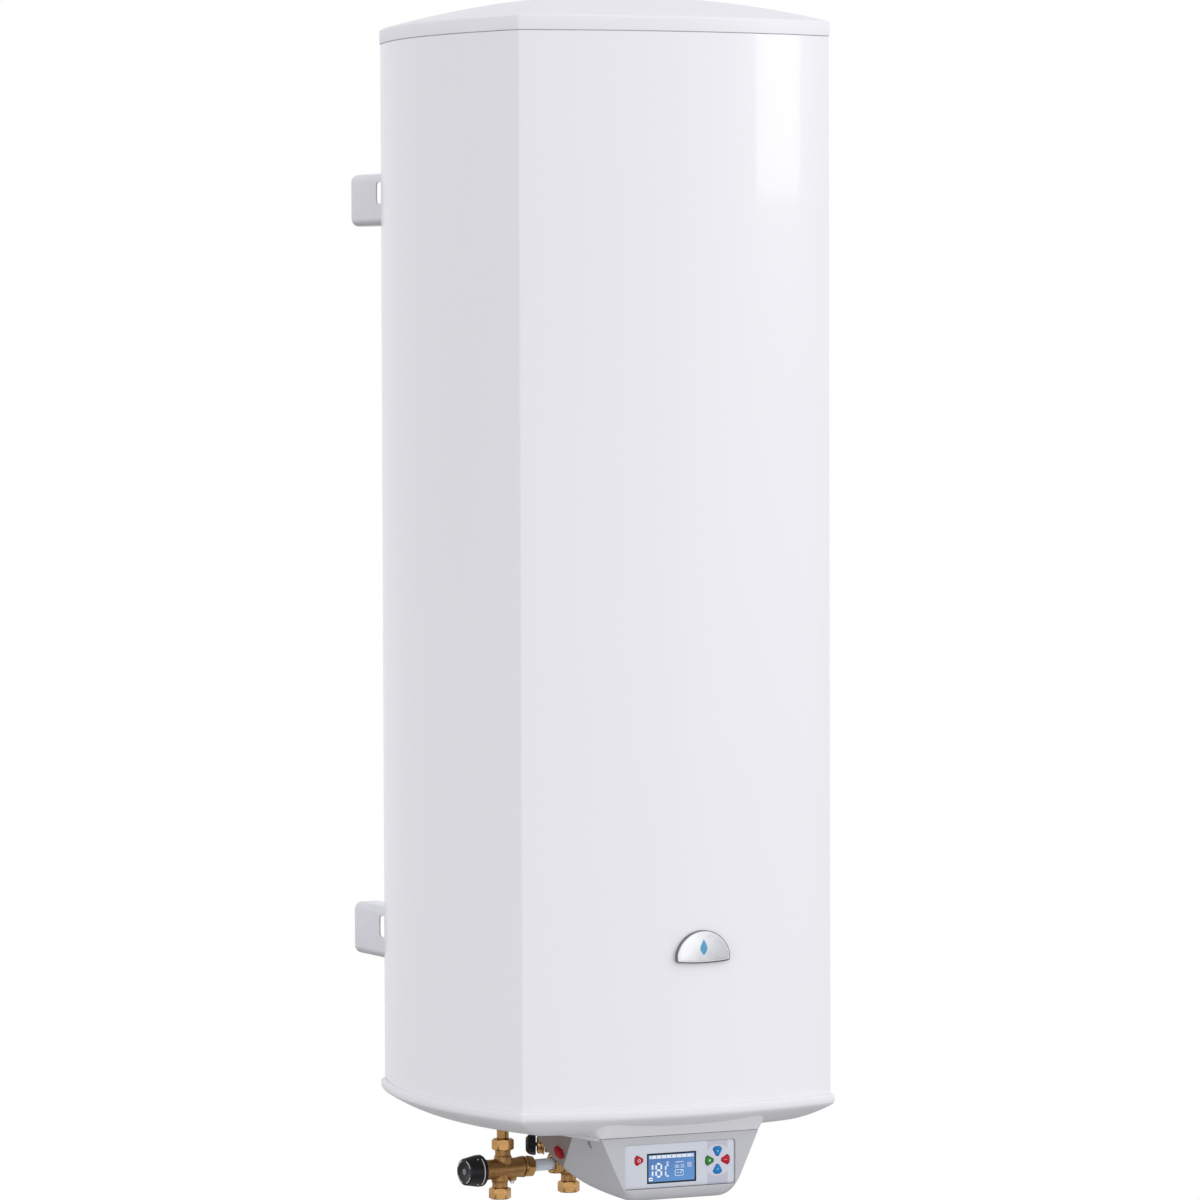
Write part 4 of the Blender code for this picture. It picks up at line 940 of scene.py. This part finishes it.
def make_mixing_knob():
    """The black knob of the mixing valve, with its printed arcs and its centre cap."""
    place = VALVE @ TO_LEFT         # local +Z leads out of the knob's face
    back = -KNOB_BACK
    face = back + KNOB_L
    hollow = 0.0009
    profile = [(0, face - hollow), (0.0105, face - hollow), (0.0125, face)]
    profile += rounded([(0.0125, face), (KNOB_FACE_R - 0.0002, face),
                        (KNOB_R - 0.0004, back + 0.0070), (KNOB_R, back + 0.0050),
                        (KNOB_R, back)], 0.0026, 5)[1:]
    profile += [(KNOB_R - 0.0012, back), (0.0125, back), (0.0115, back + 0.0012),
                (0.0090, back + 0.0012), (0.0090, back + 0.0100), (0, back + 0.0100)]
    piece("mixing_knob_grip", lathe(profile, steps=96), BLACK, place,
          "mixing_knob", ("mixing_knob",))

    def slope(height):
        share = (face - height) / (face - back - 0.0060)
        return KNOB_FACE_R + (KNOB_R - KNOB_FACE_R) * share + 0.00003

    def outward(point):
        return Vector((point.x, point.y, 0)).normalized()

    def forward(_):
        return Vector((0, 0, 1))

    front = face + 0.00002
    # angles from local +X, which points up; +Y leads to the front of the heater
    marks = [ribbon(arc_on_cone(lambda _: 0.0142, front, front, start, end), 0.0011, forward)
             for start, end in ((20, 68), (112, 165), (200, 248), (292, 340))]
    rear = back + 0.0052
    marks += [ribbon(arc_on_cone(lambda _: KNOB_R + 0.00003, rear, rear, start, end, 36),
                     0.0013, outward)
              for start, end in ((35, 145), (215, 325))]
    marks += [ribbon(arc_on_cone(slope, rear + 0.0042, rear + 0.0062, angle, angle, 3),
                     0.0014, outward)
              for angle in (35, 145, 215, 325)]
    piece("mixing_knob_scale", join(*marks), PRINT, place, "mixing_knob")

    seat = face - hollow
    cap = lathe([(0, seat + 0.0014), (0.0030, seat + 0.0012), (0.0040, seat + 0.0006),
                 (0.0042, seat + 0.0002), (0, seat + 0.0002)], 0.0003, 48)
    piece("mixing_knob_centre", cap, CAP_GREY, place, "mixing_knob",
          ("mixing_knob_cap",))


def make_safety_valve():
    neck_end = NUT_BASE + NUT_RECESS - GAP
    into_valve = VALVE.inverted() @ SAFETY
    branch = VALVE.inverted() @ BRANCH
    body = cast_body("cast_safety_body", [
        moved(rod(SAFETY_R, SAFETY_LOW, SAFETY_HIGH), into_valve),
        moved(rod(NECK_R, 0, TOP_NUT + NUT_RECESS - GAP), into_valve),
        moved(rod(NECK_R, 0, neck_end), into_valve @ DOWN),
        moved(rod(NECK_R, 0, BRIDGE_NECK - GAP), into_valve @ TO_LEFT),
        moved(rod(BRANCH_R, 0, BRANCH_END), branch @ TO_RIGHT)])
    cut(body, (bore(PIPE_R + GAP, 0.0175, 0.0400), SAFETY @ DOWN),
        (bore(0.0050, 0.0050, 0.0200), SAFETY @ DOWN),
        (bore(0.0065, 0.0160, 0.0400), BRANCH @ TO_RIGHT))
    show(body, CAST, replaces=("safety_valve_body",))

    make_nuts(("safety_top_nut", TOP_NUT, TOP_NUT + NUT_H, SAFETY),
              ("safety_bottom_nut", NUT_BASE, NUT_BASE + NUT_H, SAFETY @ DOWN),
              ("bridge_right_nut", BRIDGE_NECK - NUT_RECESS, BRIDGE_NECK + 0.0105,
               SAFETY @ TO_LEFT))

    lip = BRANCH_KNOB_AT - 0.002
    bonnet = lathe([(0.0085, lip + 0.001), (0.0112, lip), (0.0118, lip - 0.001),
                    (0.0118, 0.0352), (0.0110, 0.0346), (0.0110, 0.0338), (0.0118, 0.0332),
                    (0.0128, 0.0322), (0.0128, 0.0303), (0.0070, 0.0303), (0.0070, lip + 0.001)],
                   0.0004, closed=True)
    brass_piece("safety_bonnet_cap", bonnet, BRANCH @ TO_RIGHT, ("safety_bonnet",))
    stem = lathe([(0, BRANCH_KNOB_AT + 0.003), (0.0025, BRANCH_KNOB_AT + 0.003),
                  (0.0025, 0.0180), (0.0058, 0.0180), (0.0058, 0.0125), (0, 0.0125)], 0.0005, 40)
    brass_piece("safety_plunger_stem", stem, BRANCH @ TO_RIGHT, ("safety_plunger",),
                "safety_plunger")
    make_safety_knob()


def make_safety_knob():
    """A small grip with shallow flutes, held in a twist to drain."""
    base = BRANCH_KNOB_AT
    face = base + BRANCH_KNOB_L
    steps = 120
    profile = rounded([(0, face), (0.0082, face - 0.0002), (0.0118, face - 0.0032),
                       (BRANCH_KNOB_R, face - 0.0080), (BRANCH_KNOB_R, base),
                       (0.0045, base), (0.0045, base + 0.0085), (0, base + 0.0085)], 0.0012, 4)
    rings = []
    for radius, height in profile:
        if radius == 0:
            rings.append([(0, 0, height)])
            continue
        depth = 0.0007 * max(0.0, min(1.0, (radius - 0.0105) / 0.0015))
        ring = []
        for i in range(steps):
            angle = 2 * pi * i / steps
            reach = radius - depth * max(0.0, cos(12 * angle)) ** 2
            ring.append((reach * cos(angle), reach * sin(angle), height))
        rings.append(ring)
    piece("safety_knob_grip", loft(rings), BLACK, BRANCH @ TO_RIGHT, "safety_knob",
          ("safety_knob",))


def make_pipes():
    for name, stub in (("hot", VALVE), ("cold", SAFETY)):
        low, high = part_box(f"{name}_pipe")
        base = stub.translation.z
        pipe = tube(PIPE_R, PIPE_R - PIPE_T, low.z - base, high.z - base)
        brass_piece(f"{name}_copper_stub", pipe, stub, (f"{name}_pipe",))
        low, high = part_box(f"{name}_collar")
        top, under = high.z - base, low.z - base
        collar = [(0.0105, top), (0.0105, under + 0.0014), (0.0098, under + 0.0008),
                  (0.0092, under), (PIPE_R + GAP, under), (PIPE_R + GAP, top)]
        brass_piece(f"{name}_cover_collar", lathe(collar, 0.0003, closed=True), stub,
                    (f"{name}_collar",))
    bridge_from = BRIDGE_NUT_END - 0.0145
    piece("bridge_tube", tube(PIPE_R, PIPE_R - PIPE_T, bridge_from, BRIDGE_TO), PIPE_WHITE,
          VALVE @ TO_RIGHT, replaces=("bridge_pipe",))


def make_gland():
    """The cable gland: a threaded body, a hexagon, and a ribbed rubber nose."""
    low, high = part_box("cable_gland")
    centre = middle("cable_gland")
    top, flange = high.z, FLOOR_Z - GAP
    thread = [(0.0085, top)]
    pitch = 0.0015
    level = top - 0.0006
    while level > flange + 0.002:
        thread += [(0.0085, level), (0.0080, level - pitch / 2)]
        level -= pitch
    thread += [(0.0085, flange + 0.0006), (0.0085, flange)]
    nose = [(0.0112, flange), (0.0112, flange - 0.0015)]
    ribs = 4
    for rib in range(ribs):
        share = rib / ribs
        z = flange - 0.0060 - share * 0.0075
        nose += [(0.0098 - 0.0022 * share, z + 0.0004), (0.0098 - 0.0022 * share, z - 0.0010),
                 (0.0086 - 0.0022 * share, z - 0.0014)]
    body = lathe(thread + nose + [(0.0052, low.z), (0.0045, low.z), (0.0045, top)], closed=True)
    nutted = loft([hexagon_ring(0.0200, flange - 0.0050, 0.0112),
                   hexagon_ring(0.0200, flange - 0.0046, 0.0115),
                   hexagon_ring(0.0200, flange - 0.0004, 0.0115),
                   hexagon_ring(0.0200, flange, 0.0112)], caps=(0, -1))
    piece("cable_gland_body", join(body, nutted), BLACK,
          at(centre.x, centre.y), replaces=("cable_gland",))


# ---------------------------------------------------------------- console

def keel_curve(steps=4):
    """The keel's stations, with a smooth curve through them behind the front edge."""
    points = [Vector(station) for station in KEEL]
    made = []
    for i in range(len(points) - 1):
        before = points[max(i - 1, 0)]
        here, there = points[i], points[i + 1]
        after = points[min(i + 2, len(points) - 1)]
        for step in range(steps):
            t = step / steps
            made.append(0.5 * (2 * here + (there - before) * t
                               + (2 * before - 5 * here + 4 * there - after) * t ** 2
                               + (3 * here - before - 3 * there + after) * t ** 3))
    return made + [points[-1]]


def console_section(y, low, steps=7):
    """One station of the boat: down a side, round the chine, along the keel, up again."""
    drop = FACE_TOP - low
    chine = min(0.015, drop * 0.45)
    half_low = FACE_TOP_HALF - drop * FACE_SLOPE
    side = Vector((-FACE_TOP_HALF + (drop - chine) * FACE_SLOPE, low + chine))
    knee = Vector((-half_low, low))
    keel = Vector((-half_low + chine * 0.9, low))
    left = [Vector((-FACE_TOP_HALF, FACE_TOP))]
    left += [left[0].lerp(side, share) for share in (0.35, 0.7)]
    left += [bend(side, knee, keel, step / steps) for step in range(steps + 1)]
    section = [(p.x, y, p.y) for p in left]
    return section + [(-x, y, z) for x, y, z in reversed(section)]


def console_skin():
    """The boat-shaped outside of the console, open at the top."""
    rows = [console_section(y, low) for y, low in keel_curve()]
    bm = bmesh.new()
    verts = [[bm.verts.new(point) for point in row] for row in rows]
    for near, far in zip(verts, verts[1:]):
        for i in range(len(near) - 1):
            bm.faces.new((near[i], near[i + 1], far[i + 1], far[i]))
    bm.faces.new(verts[0])
    bm.faces.new(verts[-1])
    bmesh.ops.recalc_face_normals(bm, faces=bm.faces)
    return bm


def split(bm, point, normal, **clear):
    bmesh.ops.bisect_plane(bm, geom=bm.verts[:] + bm.edges[:] + bm.faces[:],
                           plane_co=Vector(point), plane_no=Vector(normal), **clear)
    return bm


def console_part(behind):
    """The part of the skin in front of the slanted seam, or behind it, below the deck."""
    run = Vector((0, SEAM_LOW[0] - SEAM_TOP[0], SEAM_LOW[1] - SEAM_TOP[1]))
    normal = Vector((1, 0, 0)).cross(run).normalized()
    if normal.y < 0:
        normal.negate()
    shift = SEAM_GAP if behind else 0.0
    bm = split(console_skin(), (0, SEAM_TOP[0] + shift, SEAM_TOP[1]), normal,
               clear_outer=not behind, clear_inner=behind)
    return split(bm, (0, 0, FACE_TOP - DECK_DROP), (0, 0, 1), clear_outer=True)


def make_console_shell():
    front = shell("console_front_shell", console_part(False), SHELL_T, 24, even=True)
    opening = slab(rounded_rectangle(PANEL[0] + 2 * GAP, PANEL[1] + 2 * GAP, 0.0042), 0.020)
    tools = [(opening, CASING @ at(0, FACE_Y - 0.010, PANEL_Z))]
    tools += [(bore(SCREW_HOLE_R, -0.03, 0.03),
               CASING @ at(side * FACE_TOP_HALF, *SCREW_YZ) @ TO_RIGHT) for side in (-1, 1)]
    cut(front, *tools, angle=24)
    ease(front, 0.0006, 32)
    show(front, CONSOLE, replaces=("console_shell",))

    # The rear cover's dark colour is painted shade, for the valves' shadow.
    rear = shell("console_rear_cover", console_part(True), SHELL_T, 24, even=True)
    ease(rear, 0.0005, 32)
    show(rear, REAR_COVER_SHADE, replaces=("console_rear",))


def wall_point(side, y, drop, out):
    """A point by the console's side wall: so far below its top, so far out from it."""
    across = 1 / hypot(1, FACE_SLOPE)
    return (side * (FACE_TOP_HALF - drop * FACE_SLOPE + out * across), y,
            FACE_TOP - drop - out * FACE_SLOPE * across)


def make_console_cheeks():
    """The cap's side tongues: each laps the console's top edge and has a bead below."""
    for name, side in (("left", -1), ("right", 1)):
        rings = []
        for y, low in ((FACE_Y + 0.006, 0.0026), (FACE_Y + 0.040, 0.0044),
                       (CHEEK_REAR, CHEEK_DROP)):
            section = [(-0.0004, 0.0002), (low, 0.0002), (low, 0.0014), (low - 0.0005, 0.0022),
                       (low - 0.0016, 0.0022), (low - 0.0022, 0.0012), (-0.0004, 0.0012)]
            rings.append([wall_point(side, y, drop, out) for drop, out in section])
        piece(f"console_cheek_{name}", loft(rings, caps=(0, -1)), CAP)


def shield(size, length):
    """Outline of a button: a wide rounded end that narrows to its tip at the bottom."""
    bulge = 0.16 * length
    corners = [(-size * 0.14, -length / 2), (size * 0.14, -length / 2),
               (size / 2, length * 0.22), (size * 0.28, length / 2 - bulge * 0.2),
               (0, length / 2), (-size * 0.28, length / 2 - bulge * 0.2),
               (-size / 2, length * 0.22)]
    return rounded(corners, 0.0016, 4, closed=True)


def bar(x, z, width, height):
    """A small printed block that stands a hair proud of y = 0."""
    return moved(slab(rounded_rectangle(width, height, min(width, height) * 0.2, 2), INK),
                 at(x, -INK, z))


def flat_arc(radius, width, angle_from, angle_to, x=0.0, z=0.0, steps=24):
    """A printed arc that stands a hair proud of y = 0; angles run from +X towards +Z."""
    rings = []
    for step in range(steps + 1):
        angle = angle_from + (angle_to - angle_from) * step / steps
        rings.append([(x + reach * cos(angle), y, z + reach * sin(angle))
                      for reach, y in ((radius - width / 2, 0.0), (radius + width / 2, 0.0),
                                       (radius + width / 2, -INK), (radius - width / 2, -INK))])
    return loft(rings, caps=(0, -1))


def hollow_box(x, z, width, height, line):
    return join(bar(x, z + height / 2, width, line), bar(x, z - height / 2, width, line),
                bar(x - width / 2, z, line, height), bar(x + width / 2, z, line, height))


SEGMENTS = {"0": "abcdef", "1": "bc", "3": "abcdg", "6": "acdefg", "8": "abcdefg",
            "C": "adef"}


def digit(character, x, z, width, height, line):
    """A seven-segment character, centred on x and z."""
    places = {"a": (0, height / 2, 1), "d": (0, -height / 2, 1), "g": (0, 0, 1),
              "b": (width / 2, height / 4, 0), "c": (width / 2, -height / 4, 0),
              "e": (-width / 2, -height / 4, 0), "f": (-width / 2, height / 4, 0)}
    bars = []
    for segment in SEGMENTS[character]:
        dx, dz, flat = places[segment]
        size = (width - line, line) if flat else (line, height / 2 - line * 0.9)
        bars.append(bar(x + dx, z + dz, *size))
    return join(*bars)


def make_display():
    """The screen behind its black surround, and what it shows."""
    panel_y = FACE_Y + PANEL_RECESS
    face = CASING @ at(LCD_AT[0], panel_y, LCD_AT[1])
    border = 0.0016
    width, height = LCD[0] - 2 * GAP, LCD[1] - 2 * GAP
    surround = slab(rounded_rectangle(width, height, 0.0006, 2), 0.0012, 0.0002)
    surround = add_object("display_surround", surround, face)
    lit = (width - 2 * border, height - 2 * border)
    cut(surround, (slab(rectangle(*lit), 0.010), face @ at(0, -0.005)))
    show(surround, LCD_BLACK, replaces=("lcd_window",))
    piece("display_screen", slab(rectangle(lit[0] - 0.0001, lit[1] - 0.0001), 0.0008), DISPLAY,
          face @ at(0, 0.0004))
    low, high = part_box("lcd_module")
    size = high - low
    module = slab(rounded_rectangle(size.x, size.z, 0.001), size.y, 0.0004)
    piece("display_module", module, LCD_BLACK, at(*middle("lcd_module"))
          @ at(0, -size.y / 2), replaces=("lcd_module",))

    left, top = -lit[0] / 2, lit[1] / 2
    strip = bar(0, top - 0.0028, lit[0] - 0.0030, 0.0038)
    glyphs = [strip, digit("1", left + 0.0034, -0.0024, 0.0048, 0.0156, 0.0024),
              digit("8", left + 0.0142, -0.0024, 0.0070, 0.0156, 0.0024),
              digit("C", left + 0.0262, -0.0036, 0.0052, 0.0130, 0.0019),
              flat_arc(0.0013, 0.0007, 0, 2 * pi, left + 0.0262, 0.0062)]
    small_x, small_z = left + 0.0375, 0.0010
    for index, character in enumerate("0630"):
        shift = index * 0.0030 + (0.0012 if index > 1 else 0.0)
        glyphs.append(digit(character, small_x + shift, small_z, 0.0017, 0.0036, 0.0005))
    glyphs += [bar(small_x + 0.0051, small_z + dz, 0.0005, 0.0005) for dz in (-0.0008, 0.0008)]
    glyphs += [bar(small_x + 0.0014 * index, small_z + 0.0054, 0.0009, 0.0013)
               for index in range(8)]
    glyphs += [hollow_box(left + 0.0560, small_z + 0.0014, 0.0046, 0.0050, 0.0005),
               flat_arc(0.0011, 0.0005, 0, 2 * pi, left + 0.0560, small_z + 0.0014),
               hollow_box(left + 0.0420, -0.0068, 0.0110, 0.0070, 0.0006),
               bar(left + 0.0402, -0.0068, 0.0022, 0.0008),
               bar(left + 0.0440, -0.0068, 0.0022, 0.0008),
               bar(left + 0.0452, -0.0045, 0.0016, 0.0014),
               bar(left + 0.0034, -top + 0.0036, 0.0054, 0.0042)]
    piece("display_glyphs", join(*glyphs), GLYPH, face @ at(0, 0.0004))
    ticks = [bar(left + 0.0042 + 0.0069 * index, top - 0.0028, 0.0007, 0.0022)
             for index in range(9)]
    ticks.append(bar(left + 0.0034, -top + 0.0036, 0.0040, 0.0006))
    piece("display_ticks", join(*ticks), LCD_BLACK, face @ at(0, 0.0004 - INK))


def make_panel():
    panel_y = FACE_Y + PANEL_RECESS
    panel = add_object("printed_panel", slab(rounded_rectangle(*PANEL, PANEL_CORNER), PANEL_T,
                                             0.0003), CASING @ at(0, panel_y, PANEL_Z))
    tools = [(slab(rectangle(*LCD), 0.020), CASING @ at(LCD_AT[0], panel_y - 0.010, LCD_AT[1]))]
    spots = {"power_button": (*POWER_AT, pi / 2, BUTTON_RED, "button_red")}
    for name, angle, material, slot in (
            ("button_up", 0.0, BUTTON_BLUE, "button_blue"),
            ("button_left", pi / 2, BUTTON_GREEN, "button_green"),
            ("button_down", pi, BUTTON_BLUE, "button_blue"),
            ("button_right", -pi / 2, BUTTON_RED, "button_red")):
        spots[name] = (BUTTONS_AT[0] - BUTTON_OFF * sin(angle),
                       BUTTONS_AT[1] + BUTTON_OFF * cos(angle), angle, material, slot)
    clearance = 1 + 4 * GAP / BUTTON_SIZE[1]
    for x, z, angle, _, _ in spots.values():
        tools.append((slab(shield(*(size * clearance for size in BUTTON_SIZE)), 0.020),
                      CASING @ at(x, panel_y - 0.010, z) @ Matrix.Rotation(-angle, 4, "Y")))
    cut(panel, *tools)
    show(panel, FOIL, replaces=("control_panel",))

    crown = 0.0003
    for name, (x, z, angle, material, slot) in spots.items():
        front = CASING @ at(x, panel_y - BUTTON_PROUD + crown, z)
        turned = front @ Matrix.Rotation(-angle, 4, "Y")
        key = slab(shield(*BUTTON_SIZE), BUTTON_DEPTH - crown, 0.0005, crown)
        piece(name + "_key", key, material, turned, name, (name,))
        make_button_mark(name, front @ at(0, -crown - 0.00002))


def make_button_mark(name, face):
    """A generic sign on each button, upright whichever way the button points."""
    if name == "power_button":
        mark = join(flat_arc(0.0017, 0.00055, radians(125), radians(415)),
                    bar(0, 0.0015, 0.00055, 0.0018))
    elif name == "button_up":
        mark = join(bar(0, 0, 0.0020, 0.0006), bar(0, 0, 0.0006, 0.0020))
    elif name == "button_down":
        mark = bar(0, 0, 0.0022, 0.0006)
    elif name == "button_left":
        mark = join(*[bar(0, dz, 0.0026, 0.0005) for dz in (-0.0009, 0, 0.0009)])
    else:
        mark = join(*[bar(dx, 0, 0.0006, 0.0006) for dx in (-0.0012, 0, 0.0012)])
    piece(name + "_mark", mark, GLYPH, face, name)


def make_marker_cap():
    """The red square cap on the left side of the rear cover, whose dark colour is painted shade.
    """
    lean = atan2(FACE_SLOPE, 1)
    outline = rounded_rectangle(MARKER, MARKER, 0.0012)
    shape = moved(slab(outline, MARKER_PROUD, 0.0008, 0.0003),
                  Matrix.Rotation(radians(25), 4, "Y"))
    inward = (FACE_TOP - MARKER_YZ[1]) * FACE_SLOPE
    side_x = -FACE_TOP_HALF + inward - GAP - MARKER_PROUD * cos(lean)
    place = (CASING @ at(side_x, MARKER_YZ[0], MARKER_YZ[1] - MARKER_PROUD * sin(lean))
             @ Matrix.Rotation(-pi / 2, 4, "Z") @ Matrix.Rotation(lean, 4, "X"))
    piece("red_marker_cap", shape, RED_CAP, place, replaces=("marker_cap",))


def make_screws():
    """Countersunk screws with a cross, deep in the holes on the console's two sides."""
    for name, side in (("console_screw_left", -1), ("console_screw_right", 1)):
        head = lathe([(0, 0.0020), (0.0030, 0.0016), (0.0042, 0.0002), (0.0018, -0.0004),
                      (0.0018, -0.0120), (0, -0.0120)], 0.0003, 40)
        place = (CASING @ at(side * (FACE_TOP_HALF - 0.0085), *SCREW_YZ)
                 @ Matrix.Rotation(side * pi / 2, 4, "Y"))
        screw = add_object(name.replace("screw", "cross_screw"), head, place)
        for turn in (0, pi / 2):
            slot = slab(rectangle(0.0042, 0.0008), 0.004)
            cut(screw, (slot, place @ at(0, 0, 0.0010) @ Matrix.Rotation(turn, 4, "Z")
                        @ TO_FRONT))
        show(screw, ZINC, replaces=(name,))


# ---------------------------------------------------------------- badge

def badge_outline(shrink=0.0):
    half = BADGE[0] / 2
    straight = 0.012
    rise = BADGE[1] - straight
    radius = (half ** 2 + rise ** 2) / (2 * rise)
    spread_angle = asin(half / radius)
    steps = 40
    arc = [(radius * sin(spread_angle * (1 - 2 * i / steps)),
            straight + rise - radius + radius * cos(spread_angle * (1 - 2 * i / steps)))
           for i in range(steps + 1)]
    base = [(-half + BADGE[0] * i / 12, -0.0022 * (1 - (2 * i / 12 - 1) ** 2) + 0.0022)
            for i in range(13)]
    corners = [(x, z - BADGE[1] / 2) for x, z in base + arc]
    outline = rounded(corners, 0.009, 6, closed=True)
    return inset(outline, shrink) if shrink else outline


def make_badge():
    """A dome-topped plate with a dark rim, a white line and a plain drop on it."""
    lean = 2 * asin(BOW_FRONT / hypot(WIDTH / 2, BOW_FRONT)) * BADGE_AT[0] / (WIDTH / 2)
    face = (CASING @ at(BADGE_AT[0], front_y(BADGE_AT[0]) - BADGE_T - 0.0035, BADGE_AT[1])
            @ Matrix.Rotation(lean, 4, "Z"))
    piece("badge_rim", slab(badge_outline(), BADGE_T + 0.0030, 0.0007), BADGE_EDGE,
          face, replaces=("badge",))
    plate = slab(badge_outline(0.0012), 0.0010, 0.0004, 0.0004)
    piece("badge_plate", plate, BADGE_SILVER, face @ at(0, -0.0002))
    outer, inner = badge_outline(0.0020), badge_outline(0.0026)
    line = loft([[(x, -0.00035, z) for x, z in outer], [(x, -0.00035, z) for x, z in inner],
                 [(x, -0.0001, z) for x, z in inner], [(x, -0.0001, z) for x, z in outer]],
                wrap=True)
    piece("badge_inner_line", line, BADGE_LINE, face)
    drop = [(0.0068 * sin(pi * t) * (1 - 0.62 * t) * side, 0.0195 * t - 0.0090)
            for side in (1, -1) for t in (
                [i / 14 for i in range(15)] if side > 0 else [i / 14 for i in range(13, 0, -1)])]
    piece("badge_drop", slab(drop, 0.0008, 0.0002, 0.0002), BADGE_DROP,
          face @ at(0, -0.0007, -0.001))


# ---------------------------------------------------------------- pieces inside

INSIDE = {FOAM: ("foam_insulation",),
          STEEL: ("inner_tank", "heating_element", "thermostat_pocket"),
          MAGNESIUM: ("anode_rod",), RUBBER: ("flange_gasket",), BOARD: ("control_board",),
          PIPE_WHITE: ("cold_diffuser", "terminal_block"),
          BLACK: ("thermostat", "safety_cutout"), MACHINED: ("mixing_cartridge",)}


def dress_inside():
    for material, names in INSIDE.items():
        for name in names:
            node = frame["nodes"][name]
            for material_slot in node.material_slots:
                material_slot.material = material


# ---------------------------------------------------------------- stage

TARGET = (-0.00448, -0.04355)       # across and up, from the casing's centre
AZIMUTH = radians(-25.872)
ELEVATION = radians(2.348)
ROLL = radians(-0.187)
DISTANCE = 7.7501
LENS = 186.94
FLOOR_DROP = 1.90                   # floor below the casing's centre
FLOOR_CLEAR = (0.80, 1.50)          # radii over which the floor fades out

STUDIO_STRENGTH = 1.36
BRIGHT_SIDE = (-0.05, -0.27, 0.0)   # added towards this side, taken away behind
# height, from straight down at 0 to straight up at 1, and the colour seen there
SKY = ((0.0, (0.06, 0.055, 0.05)), (0.25, (0.28, 0.27, 0.265)), (0.44, (0.85, 0.85, 0.89)),
       (0.62, (0.88, 0.88, 0.93)), (0.80, (0.74, 0.74, 0.77)), (1.0, (0.62, 0.62, 0.64)))


def direction(azimuth, elevation):
    """Where to stand round the casing; azimuth 0 is in front, 90 degrees to the right."""
    return Vector((sin(azimuth) * cos(elevation), -cos(azimuth) * cos(elevation),
                   sin(elevation)))


def make_camera():
    back = direction(AZIMUTH, ELEVATION)
    right = Vector((cos(AZIMUTH), sin(AZIMUTH), 0))
    target = CASING.translation + right * TARGET[0] + Vector((0, 0, TARGET[1]))
    level = Matrix((right, back.cross(right), back)).transposed()
    data = bpy.data.cameras.new("camera")
    data.lens = LENS
    data.sensor_width = 36.0
    data.clip_end = 50.0
    bpy.context.scene.camera = link_object(
        "camera", data, Matrix.Translation(target + back * DISTANCE)
        @ (level @ Matrix.Rotation(ROLL, 3, "Z")).to_4x4())


def make_light(name, azimuth, elevation, distance, size, power):
    """A soft rectangular light that faces the casing's centre."""
    towards = direction(radians(azimuth), radians(elevation))
    data = bpy.data.lights.new(name, "AREA")
    data.shape = "RECTANGLE"
    data.size, data.size_y = size
    data.energy = power
    link_object(name, data, Matrix.Translation(CASING.translation + towards * distance)
                @ towards.to_track_quat("Z", "Y").to_matrix().to_4x4())


def make_world():
    """White where the camera sees it; to the object, a pale studio, dimmer below."""
    world = bpy.data.worlds.new("studio")
    bpy.context.scene.world = world
    nodes = Nodes(world, "Generated")
    facing = nodes.add("VectorMath", {0: nodes.coords, 1: BRIGHT_SIDE}, "Value",
                       operation="DOT_PRODUCT")
    colour = nodes.add("ValToRGB", {"Fac": nodes.spread(nodes.parts()["Z"], -1, 1, 0, 1)},
                       "Color")
    ramp = colour.node.color_ramp
    while len(ramp.elements) < len(SKY):
        ramp.elements.new(0.5)
    for element, (position, shade) in zip(ramp.elements, SKY):
        element.position = position
        element.color = (*shade, 1.0)
    studio = nodes.add("Background", {
        "Color": colour, "Strength": nodes.maths("ADD", facing, STUDIO_STRENGTH)})
    seen = nodes.add("Background", {"Color": (1, 1, 1, 1)})
    to_camera = nodes.add("LightPath", output="Is Camera Ray")
    nodes.feed(nodes.tree.nodes["World Output"],
               {"Surface": nodes.add("MixShader", {"Fac": to_camera, 1: studio, 2: seen})})


def make_floor():
    """A plain pale disc that fades away at its rim."""
    centre = CASING.translation
    floor = add_object("studio_floor", loft([circle(radius, 0.0, 96)
                                             for radius in (*FLOOR_CLEAR[::-1], 0)]),
                       at(centre.x, centre.y, centre.z - FLOOR_DROP))
    nodes = material_nodes("studio_floor")
    reach = nodes.add("VectorMath", {0: nodes.coords}, "Value", operation="LENGTH")
    floor.data.materials.append(nodes.shade(
        roughness=0.8, alpha=nodes.spread(reach, *FLOOR_CLEAR, 1, 0),
        base_color=nodes.blend(nodes.noise(30.0), (0.71, 0.71, 0.71), (0.75, 0.75, 0.75))))


make_jacket()
make_top_cap()
make_bottom_cap()
for level in ("upper", "lower"):
    for hand, side in (("left", -1), ("right", 1)):
        make_bracket(f"{level}_{hand}_bracket", side)
make_flange()
make_pipes()
make_mixing_valve()
make_mixing_knob()
make_safety_valve()
make_gland()
make_console_shell()
make_console_seat()
make_console_cheeks()
make_display()
make_panel()
make_marker_cap()
make_screws()
make_badge()
dress_inside()

make_camera()
make_world()
make_floor()
make_light("key_softbox", 48.5, 27, 2.6, (0.56, 1.5), 8)
make_light("front_fill", 42, -4, 4.5, (3.0, 3.4), 9)

bpy.context.scene.view_settings.view_transform = "Standard"
